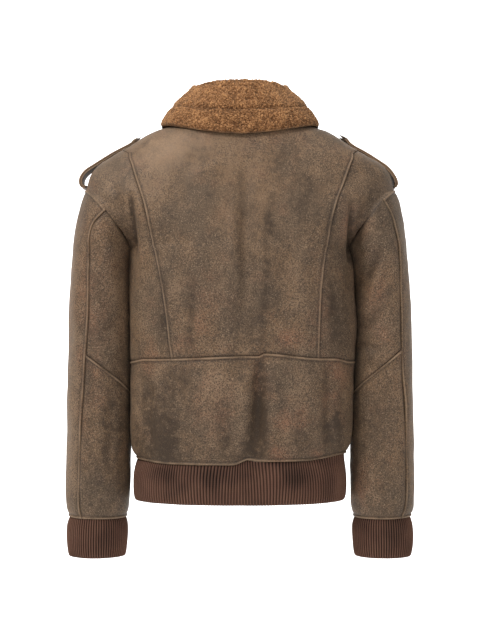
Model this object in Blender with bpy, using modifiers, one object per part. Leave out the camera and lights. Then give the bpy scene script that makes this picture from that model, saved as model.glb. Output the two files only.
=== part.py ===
"""Leather flight jacket with a fleece collar, filled out as when it is worn.

The jacket is cut as in the workshop: body, sleeve, rib and collar pieces are regions of three
smooth surfaces (body, sleeve, collar).  Each piece is a grid laid on its surface and then
extruded inwards by the thickness of its cloth.
Axes: +Z up, the wearer faces -Y, +X is the wearer's left.  The origin lies in the middle of the
neck opening, level with the shoulders.  Tables are in millimetres.
"""
import math

import bmesh
import bpy
import numpy as np

MM = 0.001

# Cloth and seams
LEATHER = 3.0
RIB = 3.0
FLEECE = 7.0
STRAP = 4.5
TAPE = 1.0
SEAM_GAP = 0.3
NECK_GAP = 0.9

# Body: half widths and heights that the tables below share
SHOULDER_X = 264.0
SHOULDER_Z = -112.0
UNDERARM_X = 180.0
UNDERARM_Z = -215.0
ARMHOLE_HALF_DEPTH = 95.0
ARMHOLE_STEPS = 8
# The armhole bows upwards from a plain ellipse, and the sleeve follows it for its first rows
ARMHOLE_BULGE = 12.0
ARMHOLE_BULGE_ROWS = 3.0
LEVEL_FROM = 0.95

# Columns of the grid from the centre back to the princess seam, on to the side, and round the front
CENTRE_COLUMNS = 5
SIDE_COLUMNS = 3
FRONT_COLUMNS = 7

# Sleeve: columns round it, with the two seams that run its whole length
SLEEVE_COLUMNS = 16
BACK_SEAM_COLUMN = {"left": 4, "right": 3}
FRONT_SEAM_COLUMN = 10
FRONT_SEAM_ANGLE = 222.0
FRONT_SEAM_LEAN_ROWS = 3.0

# Collar
ROLL_RADIUS = 10.0
STAND_INSET = 5.0
LEAF_LIFT = 10.0
FALL_SEAM_SHARE = 0.52
COLLAR_END_SHARE = 0.4
LEAF_BULGE = 4.0

# Front zip
FRONT_EDGE = 5.0
CHAIN_HALF_WIDTH = 3.0
CHAIN_THICKNESS = 2.9
TAPE_OUTER_EDGE = 18.0
TAPE_CLEARANCE = 0.5
SLIDER_HALF_WIDTH = 4.6
SLIDER_LENGTH = 12.0
PLATE_THICKNESS = 1.1
PULL_LENGTH = 28.0
PULL_WIDTH = 7.0
PULL_THICKNESS = 1.5
CHAIN_TOP_SHARE = 0.9
SLIDER_TOP = 5.0
POST_HALF = 1.5
POST_FOOT = 0.7
POST_TOP = 4.5
BRIDGE_HALF = 1.2
BRIDGE_HEIGHT = 3.8
BRIDGE_WALL = 1.2
BRIDGE_FOOT = -5.0
BRIDGE_TOP = 3.0
EYE_FOOT = -3.2
EYE_TOP = 1.2
BITE = 0.4
PULL_AXIS_Z = -1.0
WINDOW_PLAY = 0.4
WINDOW_LENGTH = 5.2
CUT_THROUGH = 4.0

# Epaulettes
EPAULETTE_HALF_WIDTH = 22.5
EPAULETTE_TAPER = 1.5
EPAULETTE_POINT = 14.0
EPAULETTE_POINT_SLOPE = 0.55
EPAULETTE_CROWN = 2.0
EPAULETTE_COLUMNS = 4
SNAP_RADIUS = 6.0
SNAP_HEIGHT = 1.8
SNAP_RIM = 0.5
SNAP_LIFT = 0.8

# Steps for reading a surface's direction, and how near 1 a share counts as the side's edge
SHARE_STEP = 0.02
ROW_STEP = 0.1
ANGLE_STEP = 2.0
AT_EDGE = 0.999
NEAR_EDGE = 0.98
AXIS_DROP = 40.0

BODY_COLUMNS = ("edge_x", "edge_z", "back_z", "back_depth", "front_z", "front_depth", "fullness",
                "right_extra")

# Rows whose ends lie on the shoulder line, from the neck outwards
CREST_ROWS = (
    (85, 3, 6, 82, -85, 92, 0.86, 0),
    (106, 0, -4, 90, -93, 97, 0.86, 0),
    (131, -8, -16, 97, -102, 102.5, 0.85, 0),
    (156, -17, -29, 103, -111, 108, 0.84, 0),
    (193, -40, -52, 111, -124, 115.5, 0.82, 0),
    (219, -55, -68, 115.5, -134, 120.5, 0.80, 0),
    (247, -74, -86, 119, -145, 126, 0.78, 0),
    (259, -93, -101, 122, -155, 130.5, 0.76, 0),
)
# Middle, and fullness, of the first and last row that end on the armhole
ARMHOLE_TOP_MIDDLE = (-114, 124.5, -164, 134, 0.75, 0)
ARMHOLE_FOOT_MIDDLE = (-221, 132, -225, 142, 0.61, 0)
# Rows whose ends lie on the side seam, down to the waist seam, the hem seam and the rib's foot
SIDE_ROWS = (
    (181, -245, -250, 131.5, -253, 144, 0.64, 3),
    (181.5, -280, -284, 130.5, -286, 145, 0.68, 6),
    (181.5, -315, -317, 129.5, -318, 145, 0.72, 8),
    (181.5, -350, -349, 128, -350, 144, 0.76, 9),
    (181.5, -378, -373, 127, -375, 142.5, 0.79, 9),
    (181.5, -398, -393, 126, -397, 141, 0.81, 8),
    (181.5, -440, -432, 128, -435, 141, 0.82, 6),
    (182, -480, -474, 128, -476, 140.5, 0.83, 4),
    (182, -520, -518, 125, -519, 138.5, 0.84, 2.5),
    (180.5, -552, -549, 120, -550, 134, 0.85, 1),
    (176.5, -570, -570, 115, -573, 128.5, 0.86, 0),
    (181.5, -597, -593, 117, -594, 128, 0.86, 0),
    (182, -620, -618, 116.5, -618, 126.5, 0.86, 0),
    (180, -640, -640, 112.5, -640, 122, 0.86, 0),
)
SHOULDER_ROW = len(CREST_ROWS)
UNDERARM_ROW = SHOULDER_ROW + ARMHOLE_STEPS
WAIST_ROW = UNDERARM_ROW + 6
HEM_ROW = UNDERARM_ROW + 11
RIB_FOOT_ROW = UNDERARM_ROW + 14
PRINCESS_TOP_ROW = 3
PRINCESS_TIP_SHARES = (0.99, 0.955)

# Distance of the princess seam from the centre back, at heights on the back
PRINCESS_HEIGHTS = (-393, -328, -288, -246, -200, -170, -140, -99, -70, -46)
PRINCESS_LEFT = (114, 121, 127, 136, 146, 152, 159, 171, 181, 189)
PRINCESS_RIGHT = (131, 132.5, 134, 138.5, 146, 151.5, 160, 174.5, 185.5, 192)

SLEEVE_FIELDS = ("outer_x", "outer_z", "inner_left", "inner_right", "inner_z", "half_depth")
SLEEVE_ROWS = (
    (SHOULDER_X, SHOULDER_Z, UNDERARM_X, UNDERARM_X, UNDERARM_Z, ARMHOLE_HALF_DEPTH),
    (273, -134, 184, 187, -231, 94),
    (279.5, -165, 184.5, 189.5, -246, 92.7),
    (284.5, -198, 184, 192, -259, 90.4),
    (288, -234, 184, 193, -276, 89.1),
    (290.5, -272, 184, 193.5, -298, 86.1),
    (292.5, -308, 184, 194, -324, 84.1),
    (293.5, -342, 184, 194, -352, 82.1),
    (294.5, -374, 184, 193.5, -380, 80.1),
    (295.5, -405, 184, 193, -409, 78.1),
    (296.5, -437, 184.5, 192.5, -440, 76.1),
    (297.5, -469, 184.5, 191.5, -471, 74.1),
    (298, -501, 185, 190.5, -503, 72.1),
    (298, -535, 186, 190, -536, 70.1),
    (298, -569, 187.5, 190, -570, 68.1),
    (298.5, -601, 188.5, 190.5, -602, 65.25),
    (299, -631, 189.5, 191, -632, 61.55),
    (298, -654, 191, 192, -655, 55),
    (293, -670, 195, 196, -671, 48),
    (296, -688, 193, 194, -688, 47),
    (296.5, -712, 193.5, 194.5, -712, 45.5),
    (294, -738, 196, 197, -738, 43),
)
WRIST_ROW = 18
CUFF_FOOT_ROW = 21
ELBOW_ROW = 9
# The elbow seam leaves the long back seam at this angle and row, and slants down to the front seam
ELBOW_START_ANGLE = 50.0
ELBOW_START = 8.1
ELBOW_DROP = 3.7
# Angle in degrees of the long back seam, at every second row of the sleeve
BACK_SEAM_ANGLES = {
    "left": (90, 70, 72, 73, 72, 69, 65, 62, 61, 61, 58, 57),
    "right": (67.5, 58, 55, 58, 58, 57, 52, 48, 49, 54, 56, 56),
}

# The hem seam climbs towards the wearer's right side: how far, and where it starts and ends
HEM_RISE = 12.0
HEM_RISE_FROM = 110.0
HEM_RISE_RUN = 60.0
HEM_RISE_MIDDLE = -570.0
HEM_RISE_REACH = 28.0

# Largest folds: where each starts and ends, its half width and its depth, on the back
BACK_FOLDS = (
    (-12, -60, -16, -370, 16, -3.0),
    (8, -80, 6, -350, 14, 1.5),
    (-38, -405, -14, -560, 15, -4.0),
    (150, -215, 158, -380, 14, -3.0),
    (-160, -225, -164, -380, 14, -3.0),
    (60, -420, 75, -540, 22, 2.0),
    (-100, -430, -95, -545, 22, 2.0),
)

COLLAR_FIELDS = ("rise", "lean", "upright", "edge_turn", "edge_row")
# One row for each second column of the collar, from the centre back to the front end
COLLAR_ROWS = (
    (61, 6, 1.0, 0.00, 2.95),
    (62, 6, 1.0, 0.36, 2.80),
    (66, 7, 1.0, 0.76, 2.25),
    (66, 7, 1.0, 1.12, 2.05),
    (52, 5, 0.9, 1.36, 2.55),
    (30, 1, 0.5, 1.58, 3.70),
    (15, -3.5, 0.0, 1.74, 5.00),
)

# Outer face of each strap in x and z: out of the armhole seam, round the loop, up to the tip
STRAP_LEFT = ((264.8, -108), (270.5, -104.5), (273.5, -97), (271.5, -87), (263, -76.5),
              (247, -66.5), (219, -47.5), (193, -33.5), (167, -18))
STRAP_RIGHT = ((266.9, -106.2), (268.4, -100.5), (267.6, -94), (263.5, -85.5), (257, -76.5),
               (247, -67), (219, -47.3), (193, -33.2), (170, -15))

COLOURS = {
    "leather": (0.19, 0.13, 0.09, 1.0),
    "fleece": (0.37, 0.17, 0.055, 1.0),
    "rib": (0.10, 0.052, 0.033, 1.0),
    "tape": (0.05, 0.035, 0.025, 1.0),
    "metal": (0.45, 0.36, 0.22, 1.0),
}


def clear_scene():
    for old in list(bpy.data.objects):
        bpy.data.objects.remove(old)


def along(values, place):
    """The value at a fractional place in a list, on a smooth curve through the list."""
    last = len(values) - 1
    place = min(max(place, 0.0), float(last))
    start = min(int(place), last - 1)
    share = place - start
    b = values[start]
    c = values[start + 1]
    a = values[start - 1] if start > 0 else 2 * b - c
    d = values[start + 2] if start + 2 <= last else 2 * c - b
    return 0.5 * (2 * b + (c - a) * share + (2 * a - 5 * b + 4 * c - d) * share ** 2
                  + (3 * b - a - 3 * c + d) * share ** 3)


def columns_of(names, rows):
    return {name: [row[index] for row in rows] for index, name in enumerate(names)}


def body_table():
    """All body rows: shoulder rows, rows round the armhole worked out as an ellipse, side rows."""
    rows = [row + (0.0,) for row in CREST_ROWS]
    for step in range(ARMHOLE_STEPS + 1):
        angle = math.pi * step / ARMHOLE_STEPS
        down = (1 - math.cos(angle)) / 2
        edge_x = SHOULDER_X + (UNDERARM_X - SHOULDER_X) * down
        edge_z = SHOULDER_Z + (UNDERARM_Z - SHOULDER_Z) * down + ARMHOLE_BULGE * math.sin(angle) ** 2
        middle = [top + (foot - top) * step / ARMHOLE_STEPS
                  for top, foot in zip(ARMHOLE_TOP_MIDDLE, ARMHOLE_FOOT_MIDDLE)]
        rows.append((edge_x, edge_z, *middle, ARMHOLE_HALF_DEPTH * math.sin(angle)))
    rows += [row + (0.0,) for row in SIDE_ROWS]
    return columns_of(BODY_COLUMNS + ("edge_y",), rows)


BODY = body_table()
SLEEVE = columns_of(SLEEVE_FIELDS, SLEEVE_ROWS)
COLLAR = columns_of(COLLAR_FIELDS, COLLAR_ROWS)


def turn_at(row, back):
    """Angle of the rounded section at a row's end: a right angle unless the armhole cuts it short."""
    depth = along(BODY["back_depth" if back else "front_depth"], row)
    edge_y = max(along(BODY["edge_y"], row), 0.0)
    return math.acos(min(edge_y / depth, 1.0) ** (1 / along(BODY["fullness"], row)))


def edge_at(row, side):
    """Half width of a row; the body leans out a little further on the wearer's right."""
    return along(BODY["edge_x"], row) + (along(BODY["right_extra"], row) if side < 0 else 0.0)


def fold_height(x, z):
    """How far the folds move the back out of its smooth surface."""
    total = 0.0
    for x0, z0, x1, z1, half_width, depth in BACK_FOLDS:
        run_x = x1 - x0
        run_z = z1 - z0
        share = ((x - x0) * run_x + (z - z0) * run_z) / (run_x ** 2 + run_z ** 2)
        inside = min(max(share, 0.0), 1.0)
        away = math.hypot(x - x0 - inside * run_x, z - z0 - inside * run_z)
        fade = math.sin(math.pi * inside) ** 0.5
        total += depth * fade * math.exp(-(away / half_width) ** 2)
    return total


def hem_rise(x, z):
    """How far the body's lower edge is drawn up at the wearer's right side."""
    share = min(max((-x - HEM_RISE_FROM) / HEM_RISE_RUN, 0.0), 1.0)
    near = math.exp(-((z - HEM_RISE_MIDDLE) / HEM_RISE_REACH) ** 2)
    return HEM_RISE * near * share ** 2 * (3 - 2 * share)


def body_point(row, turn_share, back):
    """A point of the body: turn_share runs from 0 at the centre to 1 at the side, left positive."""
    side = math.copysign(1.0, turn_share)
    share = min(abs(turn_share), 1.0)
    turn = turn_at(row, back)
    power = along(BODY["fullness"], row)
    edge_x = edge_at(row, side)
    edge_z = along(BODY["edge_z"], row)
    middle_z = along(BODY["back_z" if back else "front_z"], row)
    depth = along(BODY["back_depth" if back else "front_depth"], row)
    x = side * edge_x * (math.sin(turn * share) / math.sin(turn)) ** power
    deep = max(math.cos(turn * share), 0.0) ** power
    y = depth * deep
    climb = min(abs(x) / edge_x / LEVEL_FROM, 1.0)
    z = middle_z + (edge_z - middle_z) * climb ** 2 * (3 - 2 * climb)
    z += hem_rise(x, z)
    if back:
        return np.array([x, y + fold_height(x, z) * deep, z])
    return np.array([x, -y, z])


def share_at(row, offset, back, side=1):
    """The turn share at which a body row reaches a distance from the centre line."""
    turn = turn_at(row, back)
    reach = min(offset / edge_at(row, side), 1.0)
    return math.asin(min(reach ** (1 / along(BODY["fullness"], row)) * math.sin(turn), 1.0)) / turn


def princess_share(row, side):
    """Where the princess seam crosses a body row; above the seam's tip it stays at the edge."""
    height = along(BODY["back_z"], row) * 0.35 + along(BODY["edge_z"], row) * 0.65
    if row < PRINCESS_TOP_ROW:
        return 1.0
    if row < PRINCESS_TOP_ROW + 2:
        return PRINCESS_TIP_SHARES[row - PRINCESS_TOP_ROW]
    offset = np.interp(height, PRINCESS_HEIGHTS, PRINCESS_LEFT if side >= 0 else PRINCESS_RIGHT)
    return share_at(row, offset, True, side)


def back_share(row, column):
    """Turn share of a column of the back grid: 5 columns to the princess seam, 3 to the side."""
    seam = princess_share(row, column)
    count = abs(column)
    if count <= CENTRE_COLUMNS:
        share = seam * count / CENTRE_COLUMNS
    else:
        share = seam + (1 - seam) * (count - CENTRE_COLUMNS) / SIDE_COLUMNS
    return math.copysign(share, column)


def front_share(row, column, side=1):
    """Turn share of a column of the front grid, counted from the side to the zip's edge."""
    first = share_at(row, FRONT_EDGE, False, side)
    return 1 - (1 - first) * column / FRONT_COLUMNS


def direction_across(point_at, row, share, rows):
    """Unit normal of a surface from four neighbouring points, one-sided at its borders."""
    up = max(row - ROW_STEP, rows[0])
    down = min(row + ROW_STEP, rows[1])
    before = max(share - SHARE_STEP, -1.0)
    after = min(share + SHARE_STEP, 1.0)
    along_rows = point_at(down, share) - point_at(up, share)
    across = point_at(row, after) - point_at(row, before)
    normal = np.cross(along_rows, across)
    return normal / np.linalg.norm(normal)


def body_normal(row, share, back):
    """Outward normal; at the shoulder and side seams it is the mean of the back's and front's."""
    normal = direction_across(lambda r, s: body_point(r, s, back), row, share,
                              (0.0, float(RIB_FOOT_ROW)))
    point = body_point(row, share, back)
    facing = 1 if back else -1
    if abs(share) <= NEAR_EDGE and normal[1] * facing <= 0:
        normal = -normal
    outward = point - np.array([0, 0, point[2] - AXIS_DROP])
    if normal @ outward < 0:
        normal = -normal
    if abs(share) > AT_EDGE and not SHOULDER_ROW < row < UNDERARM_ROW:
        mirrored = normal * np.array([1, -1, 1])
        normal = normal + mirrored
    return normal / np.linalg.norm(normal)


def sleeve_height(row, angle):
    """Row of the sleeve table for a grid row; the rows bend so that one lies on the elbow seam."""
    turn = (angle - ELBOW_START_ANGLE) % 360.0
    reach = FRONT_SEAM_ANGLE - ELBOW_START_ANGLE
    rise = turn / reach if turn < reach else 1 - (turn - reach) / (360.0 - reach)
    elbow = ELBOW_START + ELBOW_DROP * rise
    if row <= ELBOW_ROW:
        return elbow * row / ELBOW_ROW
    if row <= WRIST_ROW:
        return elbow + (WRIST_ROW - elbow) * (row - ELBOW_ROW) / (WRIST_ROW - ELBOW_ROW)
    return float(row)


def sleeve_point(row, angle, side):
    """A point of the sleeve; the angle runs from the outer edge round the back."""
    place = sleeve_height(row, angle)
    outer = np.array([along(SLEEVE["outer_x"], place), 0.0, along(SLEEVE["outer_z"], place)])
    inner_x = along(SLEEVE["inner_left" if side > 0 else "inner_right"], place)
    inner = np.array([inner_x, 0.0, along(SLEEVE["inner_z"], place)])
    turn = math.radians(angle)
    point = (outer + inner) / 2 + (outer - inner) / 2 * math.cos(turn)
    point[1] = along(SLEEVE["half_depth"], place) * math.sin(turn)
    point[2] += ARMHOLE_BULGE * (math.sin(turn) * max(1 - place / ARMHOLE_BULGE_ROWS, 0.0)) ** 2
    point[0] *= side
    return point


def sleeve_angle(row, column, side):
    """Angle of a sleeve grid column; the armhole's own columns are evenly spaced."""
    word = "left" if side > 0 else "right"
    seam = along(BACK_SEAM_ANGLES[word], row / 2)
    seam_column = BACK_SEAM_COLUMN[word]
    even = 360.0 / SLEEVE_COLUMNS
    lean = min(row / FRONT_SEAM_LEAN_ROWS, 1)
    front = FRONT_SEAM_COLUMN * even + (FRONT_SEAM_ANGLE - FRONT_SEAM_COLUMN * even) * lean
    if column < seam_column:
        column += SLEEVE_COLUMNS
    if column <= FRONT_SEAM_COLUMN:
        share = (column - seam_column) / (FRONT_SEAM_COLUMN - seam_column)
        return seam + (front - seam) * share
    share = (column - FRONT_SEAM_COLUMN) / (SLEEVE_COLUMNS + seam_column - FRONT_SEAM_COLUMN)
    return front + (seam + 360.0 - front) * share


def sleeve_normal(row, angle, side):
    up = max(row - ROW_STEP, 0.0)
    down = min(row + ROW_STEP, float(CUFF_FOOT_ROW))
    along_rows = sleeve_point(down, angle, side) - sleeve_point(up, angle, side)
    across = sleeve_point(row, angle + ANGLE_STEP, side) - sleeve_point(row, angle - ANGLE_STEP, side)
    normal = np.cross(along_rows, across) * side
    return normal / np.linalg.norm(normal)


def armhole_normal(step, side, front):
    """Shared normal of body and sleeve where the seam is a ridge; None where it is a valley."""
    angle = 360.0 * step / SLEEVE_COLUMNS
    own = body_normal(SHOULDER_ROW + step, side * 1.0, not front)
    turn = -angle if front else angle
    sleeve = sleeve_normal(0, turn, side)
    into_sleeve = sleeve_point(0.3, turn, side) - sleeve_point(0, turn, side)
    if own @ into_sleeve > 0.0:
        return own, sleeve
    both = own + sleeve
    both = both / np.linalg.norm(both)
    return both, both


def body_grid(rows, columns, back):
    """Points and normals of a region of the body."""
    points = []
    normals = []
    for row in rows:
        for column, side in columns:
            if back:
                share = side * abs(back_share(row, math.copysign(column, side)))
            else:
                share = side * front_share(row, column, side)
            points.append(body_point(row, share, back))
            normal = body_normal(row, share, back)
            if abs(share) > AT_EDGE and SHOULDER_ROW <= row <= UNDERARM_ROW:
                normal = armhole_normal(row - SHOULDER_ROW, side, not back)[0]
            normals.append(normal)
    shape = (len(rows), len(columns), 3)
    return np.array(points).reshape(shape), np.array(normals).reshape(shape)


def sleeve_grid(rows, columns, side):
    points = []
    normals = []
    for row in rows:
        for column in columns:
            angle = sleeve_angle(row, column, side)
            points.append(sleeve_point(row, angle, side))
            normal = sleeve_normal(row, angle, side)
            if row == 0:
                step = column % SLEEVE_COLUMNS
                front = step > SLEEVE_COLUMNS // 2
                step = SLEEVE_COLUMNS - step if front else step
                normal = armhole_normal(step, side, front)[1]
            normals.append(normal)
    shape = (len(rows), len(columns), 3)
    return np.array(points).reshape(shape), np.array(normals).reshape(shape)


def trimmed(points, edges):
    """Draw the named borders of a grid back by half a seam gap."""
    points = points.copy()
    half = SEAM_GAP / 2
    for edge in edges:
        here, inside = {"top": ((0,), (1,)), "foot": ((-1,), (-2,)),
                        "start": ((slice(None), 0), (slice(None), 1)),
                        "end": ((slice(None), -1), (slice(None), -2))}[edge]
        run = points[inside] - points[here]
        points[here] = points[here] + run / np.linalg.norm(run, axis=-1, keepdims=True) * half
    return points


def material_for(slot, name):
    material = bpy.data.materials.new(name)
    material.use_nodes = True
    shader = material.node_tree.nodes["Principled BSDF"]
    shader.inputs["Base Color"].default_value = COLOURS[slot]
    shader.inputs["Roughness"].default_value = 0.35 if slot == "metal" else 0.85
    shader.inputs["Metallic"].default_value = 1.0 if slot == "metal" else 0.0
    return material


def finish(mesh, name, slot, collection):
    """Make the object of a piece and give it its own material."""
    mesh.materials.append(material_for(slot, name))
    piece = bpy.data.objects.new(name, mesh)
    collection.objects.link(piece)
    return piece


def cloth(name, slot, points, walls, collection, joined=False):
    """A cloth piece: a grid laid on the given points, extruded along the given wall vectors."""
    rows, columns = points.shape[:2]
    sheet = bmesh.new()
    bmesh.ops.create_grid(sheet, x_segments=columns - 1, y_segments=rows - 1, size=0.5)
    sheet.verts.ensure_lookup_table()
    depth = sheet.verts.layers.float_vector.new("wall")
    for index, vertex in enumerate(sheet.verts):
        vertex.co = points[index // columns, index % columns] * MM
        vertex[depth] = walls[index // columns, index % columns] * MM
    if joined:
        bmesh.ops.remove_doubles(sheet, verts=sheet.verts[:], dist=0.00002)
    inner = bmesh.ops.extrude_face_region(sheet, geom=sheet.faces[:])
    for vertex in [part for part in inner["geom"] if isinstance(part, bmesh.types.BMVert)]:
        vertex.co += vertex[depth]
    bmesh.ops.recalc_face_normals(sheet, faces=sheet.faces[:])
    # Facing rims of two pieces are split along the same diagonals, so they stay clear of each other
    bmesh.ops.triangulate(sheet, faces=sheet.faces[:], quad_method="SHORT_EDGE")
    mesh = bpy.data.meshes.new(name)
    sheet.to_mesh(mesh)
    sheet.free()
    return finish(mesh, name, slot, collection)


def body_piece(name, rows, columns, back, edges, collection, slot="leather", thickness=LEATHER):
    points, normals = body_grid(rows, columns, back)
    return cloth(name, slot, trimmed(points, edges), -thickness * normals, collection)


def make_body(collection):
    centre = [(column, math.copysign(1, column)) for column in range(-CENTRE_COLUMNS, CENTRE_COLUMNS + 1)]
    whole = CENTRE_COLUMNS + SIDE_COLUMNS
    every = [(column, math.copysign(1, column)) for column in range(-whole, whole + 1)]
    body_piece("back_centre", range(0, WAIST_ROW + 1), centre, True,
               ("foot", "start", "end"), collection)
    body_piece("back_lower", range(WAIST_ROW, HEM_ROW + 1), every, True,
               ("top", "foot", "start", "end"), collection)
    for side, word in ((1, "left"), (-1, "right")):
        columns = [(column, side) for column in range(CENTRE_COLUMNS, whole + 1)]
        body_piece("back_side_" + word, range(PRINCESS_TOP_ROW, WAIST_ROW + 1), columns, True,
                   ("foot", "start", "end"), collection)
        columns = [(column, side) for column in range(FRONT_COLUMNS + 1)]
        body_piece("front_" + word, range(0, HEM_ROW + 1), columns, False,
                   ("foot", "start"), collection)


def make_hem_rib(collection):
    """One knitted band from the zip round the back to the zip."""
    rows = range(HEM_ROW, RIB_FOOT_ROW + 1)
    whole = CENTRE_COLUMNS + SIDE_COLUMNS
    right = body_grid(rows, [(c, -1) for c in range(FRONT_COLUMNS, 0, -1)], False)
    back = body_grid(rows, [(c, math.copysign(1, c)) for c in range(-whole, whole + 1)], True)
    left = body_grid(rows, [(c, 1) for c in range(1, FRONT_COLUMNS + 1)], False)
    points = np.concatenate([right[0], back[0], left[0]], axis=1)
    normals = np.concatenate([right[1], back[1], left[1]], axis=1)
    cloth("hem_rib", "rib", trimmed(points, ("top",)), -RIB * normals, collection)


def make_sleeve(side, word, collection):
    turn = SLEEVE_COLUMNS + BACK_SEAM_COLUMN[word]
    under = range(BACK_SEAM_COLUMN[word], FRONT_SEAM_COLUMN + 1)
    pieces = (
        ("sleeve_top_" + word, range(0, WRIST_ROW + 1), range(FRONT_SEAM_COLUMN, turn + 1)),
        ("sleeve_under_" + word, range(0, ELBOW_ROW + 1), under),
        ("sleeve_elbow_" + word, range(ELBOW_ROW, WRIST_ROW + 1), under),
    )
    for name, rows, columns in pieces:
        points, normals = sleeve_grid(rows, columns, side)
        points = trimmed(points, ("top", "foot", "start", "end"))
        cloth(name, "leather", points, -LEATHER * normals, collection)
    points, normals = sleeve_grid(range(WRIST_ROW, CUFF_FOOT_ROW + 1), range(SLEEVE_COLUMNS + 1), side)
    cloth("cuff_" + word, "rib", trimmed(points, ("top",)), -RIB * normals, collection, joined=True)


def neck_frame(column, side):
    """Neckline point, body normal and the direction in which the collar stands up from it."""
    if column > CENTRE_COLUMNS + FRONT_COLUMNS - 1:
        first = neck_frame(column - 1, side)
        share = share_at(0, FRONT_EDGE, False) * side
        last = (body_point(0, share, False), body_normal(0, share, False), first[2])
        return tuple(a + (b - a) * COLLAR_END_SHARE for a, b in zip(first, last))
    if column <= CENTRE_COLUMNS:
        back = True
        share = side * abs(back_share(0, column))
    else:
        back = False
        share = side * front_share(0, column - CENTRE_COLUMNS)
    point = body_point(0, share, back)
    normal = body_normal(0, share, back)
    before = body_point(0, max(share - SHARE_STEP, -1.0), back)
    after = body_point(0, min(share + SHARE_STEP, 1.0), back)
    up = np.cross(normal, after - before)
    if up @ (point - body_point(ROW_STEP, share, back)) < 0:
        up = -up
    return point, normal, up / np.linalg.norm(up)


def leaf_edge(column, side):
    """The collar's outer edge lies on the body, lifted clear of it."""
    place = column / 2
    turn = along(COLLAR["edge_turn"], place)
    row = along(COLLAR["edge_row"], place)
    back = turn <= 1.0
    share = side * (turn if back else 2 - turn)
    normal = body_normal(row, share, back)
    return body_point(row, share, back) + LEAF_LIFT * normal, normal


def collar_section(column, side):
    """Control points of the collar's fleece face: up the stand, over the roll, down to the edge."""
    point, normal, up = neck_frame(column, side)
    place = column / 2
    upright = along(COLLAR["upright"], place)
    rise_way = up * (1 - upright) + np.array([0, 0, 1.0]) * upright
    rise_way = rise_way / np.linalg.norm(rise_way)
    out = normal - rise_way * (normal @ rise_way)
    out = out / np.linalg.norm(out)
    roll = point + rise_way * along(COLLAR["rise"], place) - out * along(COLLAR["lean"], place)
    base = point + up * NECK_GAP - normal * STAND_INSET
    stand_top = roll - ROLL_RADIUS * (out + rise_way)
    leaf_top = roll + ROLL_RADIUS * (out - rise_way)
    edge, edge_normal = leaf_edge(column, side)
    seam = leaf_top + (edge - leaf_top) * FALL_SEAM_SHARE + out * LEAF_BULGE
    middle = (base + stand_top) / 2
    face = np.array([base, middle, stand_top, roll, leaf_top, seam, edge])
    slope = edge - leaf_top
    leaf_back = out * (slope @ rise_way) - rise_way * (slope @ out)
    leaf_back /= np.linalg.norm(leaf_back)
    walls = np.array([normal, out, out, -rise_way, -out, leaf_back, -edge_normal])
    return face, walls


def make_collar(collection):
    count = CENTRE_COLUMNS + FRONT_COLUMNS
    columns = [(abs(c), math.copysign(1, c)) for c in range(-count, count + 1)]
    places = (0, 1, 2, 2.5, 3, 3.5, 4, 4.5, 5, 5.5, 6)
    sections = [collar_section(column, side) for column, side in columns]
    points = np.array([[along(face, place) for face, _ in sections] for place in places])
    walls = FLEECE * np.array([[along(wall, place) for _, wall in sections] for place in places])
    seam = places.index(5)
    cloth("collar_band", "fleece", trimmed(points[:seam + 1], ("foot",)), walls[:seam + 1], collection)
    for word, part in (("right", slice(0, count + 1)), ("left", slice(count, None))):
        centre = "end" if word == "right" else "start"
        cloth("collar_fall_" + word, "fleece", trimmed(points[seam:, part], ("top", centre)),
              walls[seam:, part], collection)


def make_epaulette(side, word, collection):
    """A two-ply strap sewn in the armhole seam, looped over and laid back along the shoulder."""
    path = np.array(STRAP_LEFT if side > 0 else STRAP_RIGHT, dtype=float)
    offsets = np.linspace(-1, 1, EPAULETTE_COLUMNS + 1)
    run = np.gradient(path, axis=0)
    run /= np.linalg.norm(run, axis=1, keepdims=True)
    points = []
    walls = []
    last = len(path) - 1
    for index, (x, z) in enumerate(path):
        normal = np.array([run[index, 1], 0.0, -run[index, 0]])
        for offset in offsets:
            tip = EPAULETTE_POINT * abs(offset) if index == last else 0.0
            width = EPAULETTE_HALF_WIDTH - EPAULETTE_TAPER * index / last
            drop = EPAULETTE_POINT_SLOPE * tip + EPAULETTE_CROWN * offset ** 2
            place = np.array([x + tip, width * offset, z - drop])
            points.append(place * np.array([side, 1, 1]))
            walls.append(-STRAP * normal * np.array([side, 1, 1]))
    shape = (len(path), len(offsets), 3)
    cloth("epaulette_" + word, "leather", np.array(points).reshape(shape),
          np.array(walls).reshape(shape), collection)
    snap_place = (path[-1] + path[-2]) / 2
    slope = math.atan2(path[-1][1] - path[-2][1], path[-1][0] - path[-2][0])
    bpy.ops.mesh.primitive_cylinder_add(vertices=16, radius=SNAP_RADIUS * MM, depth=SNAP_HEIGHT * MM)
    snap = bpy.context.object
    snap.name = "snap_" + word
    lift = SNAP_HEIGHT / 2 + SNAP_LIFT
    tilt = math.pi - slope
    snap.rotation_euler = (0, side * tilt, 0)
    snap.location = (side * (snap_place[0] + math.sin(tilt) * lift) * MM, 0,
                     (snap_place[1] + math.cos(tilt) * lift) * MM)
    bevel = snap.modifiers.new("rim", "BEVEL")
    bevel.width = SNAP_RIM * MM
    bevel.segments = 1
    bevel.limit_method = "ANGLE"
    place_in(snap, "metal", collection)


def place_in(piece, slot, collection):
    for other in list(piece.users_collection):
        other.objects.unlink(piece)
    collection.objects.link(piece)
    piece.data.materials.clear()
    piece.data.materials.append(material_for(slot, piece.name))


def zip_line(rows):
    """Centre front line at the fronts' edges, with its outward normal, row by row."""
    line = []
    ways = []
    for row in rows:
        share = front_share(row, FRONT_COLUMNS)
        point = body_point(row, share, False)
        normal = body_normal(row, share, False)
        line.append((0.0, point[1], point[2]))
        ways.append((0.0, normal[1], normal[2]))
    ways = np.array(ways)
    return np.array(line), ways / np.linalg.norm(ways, axis=1, keepdims=True)


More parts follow.
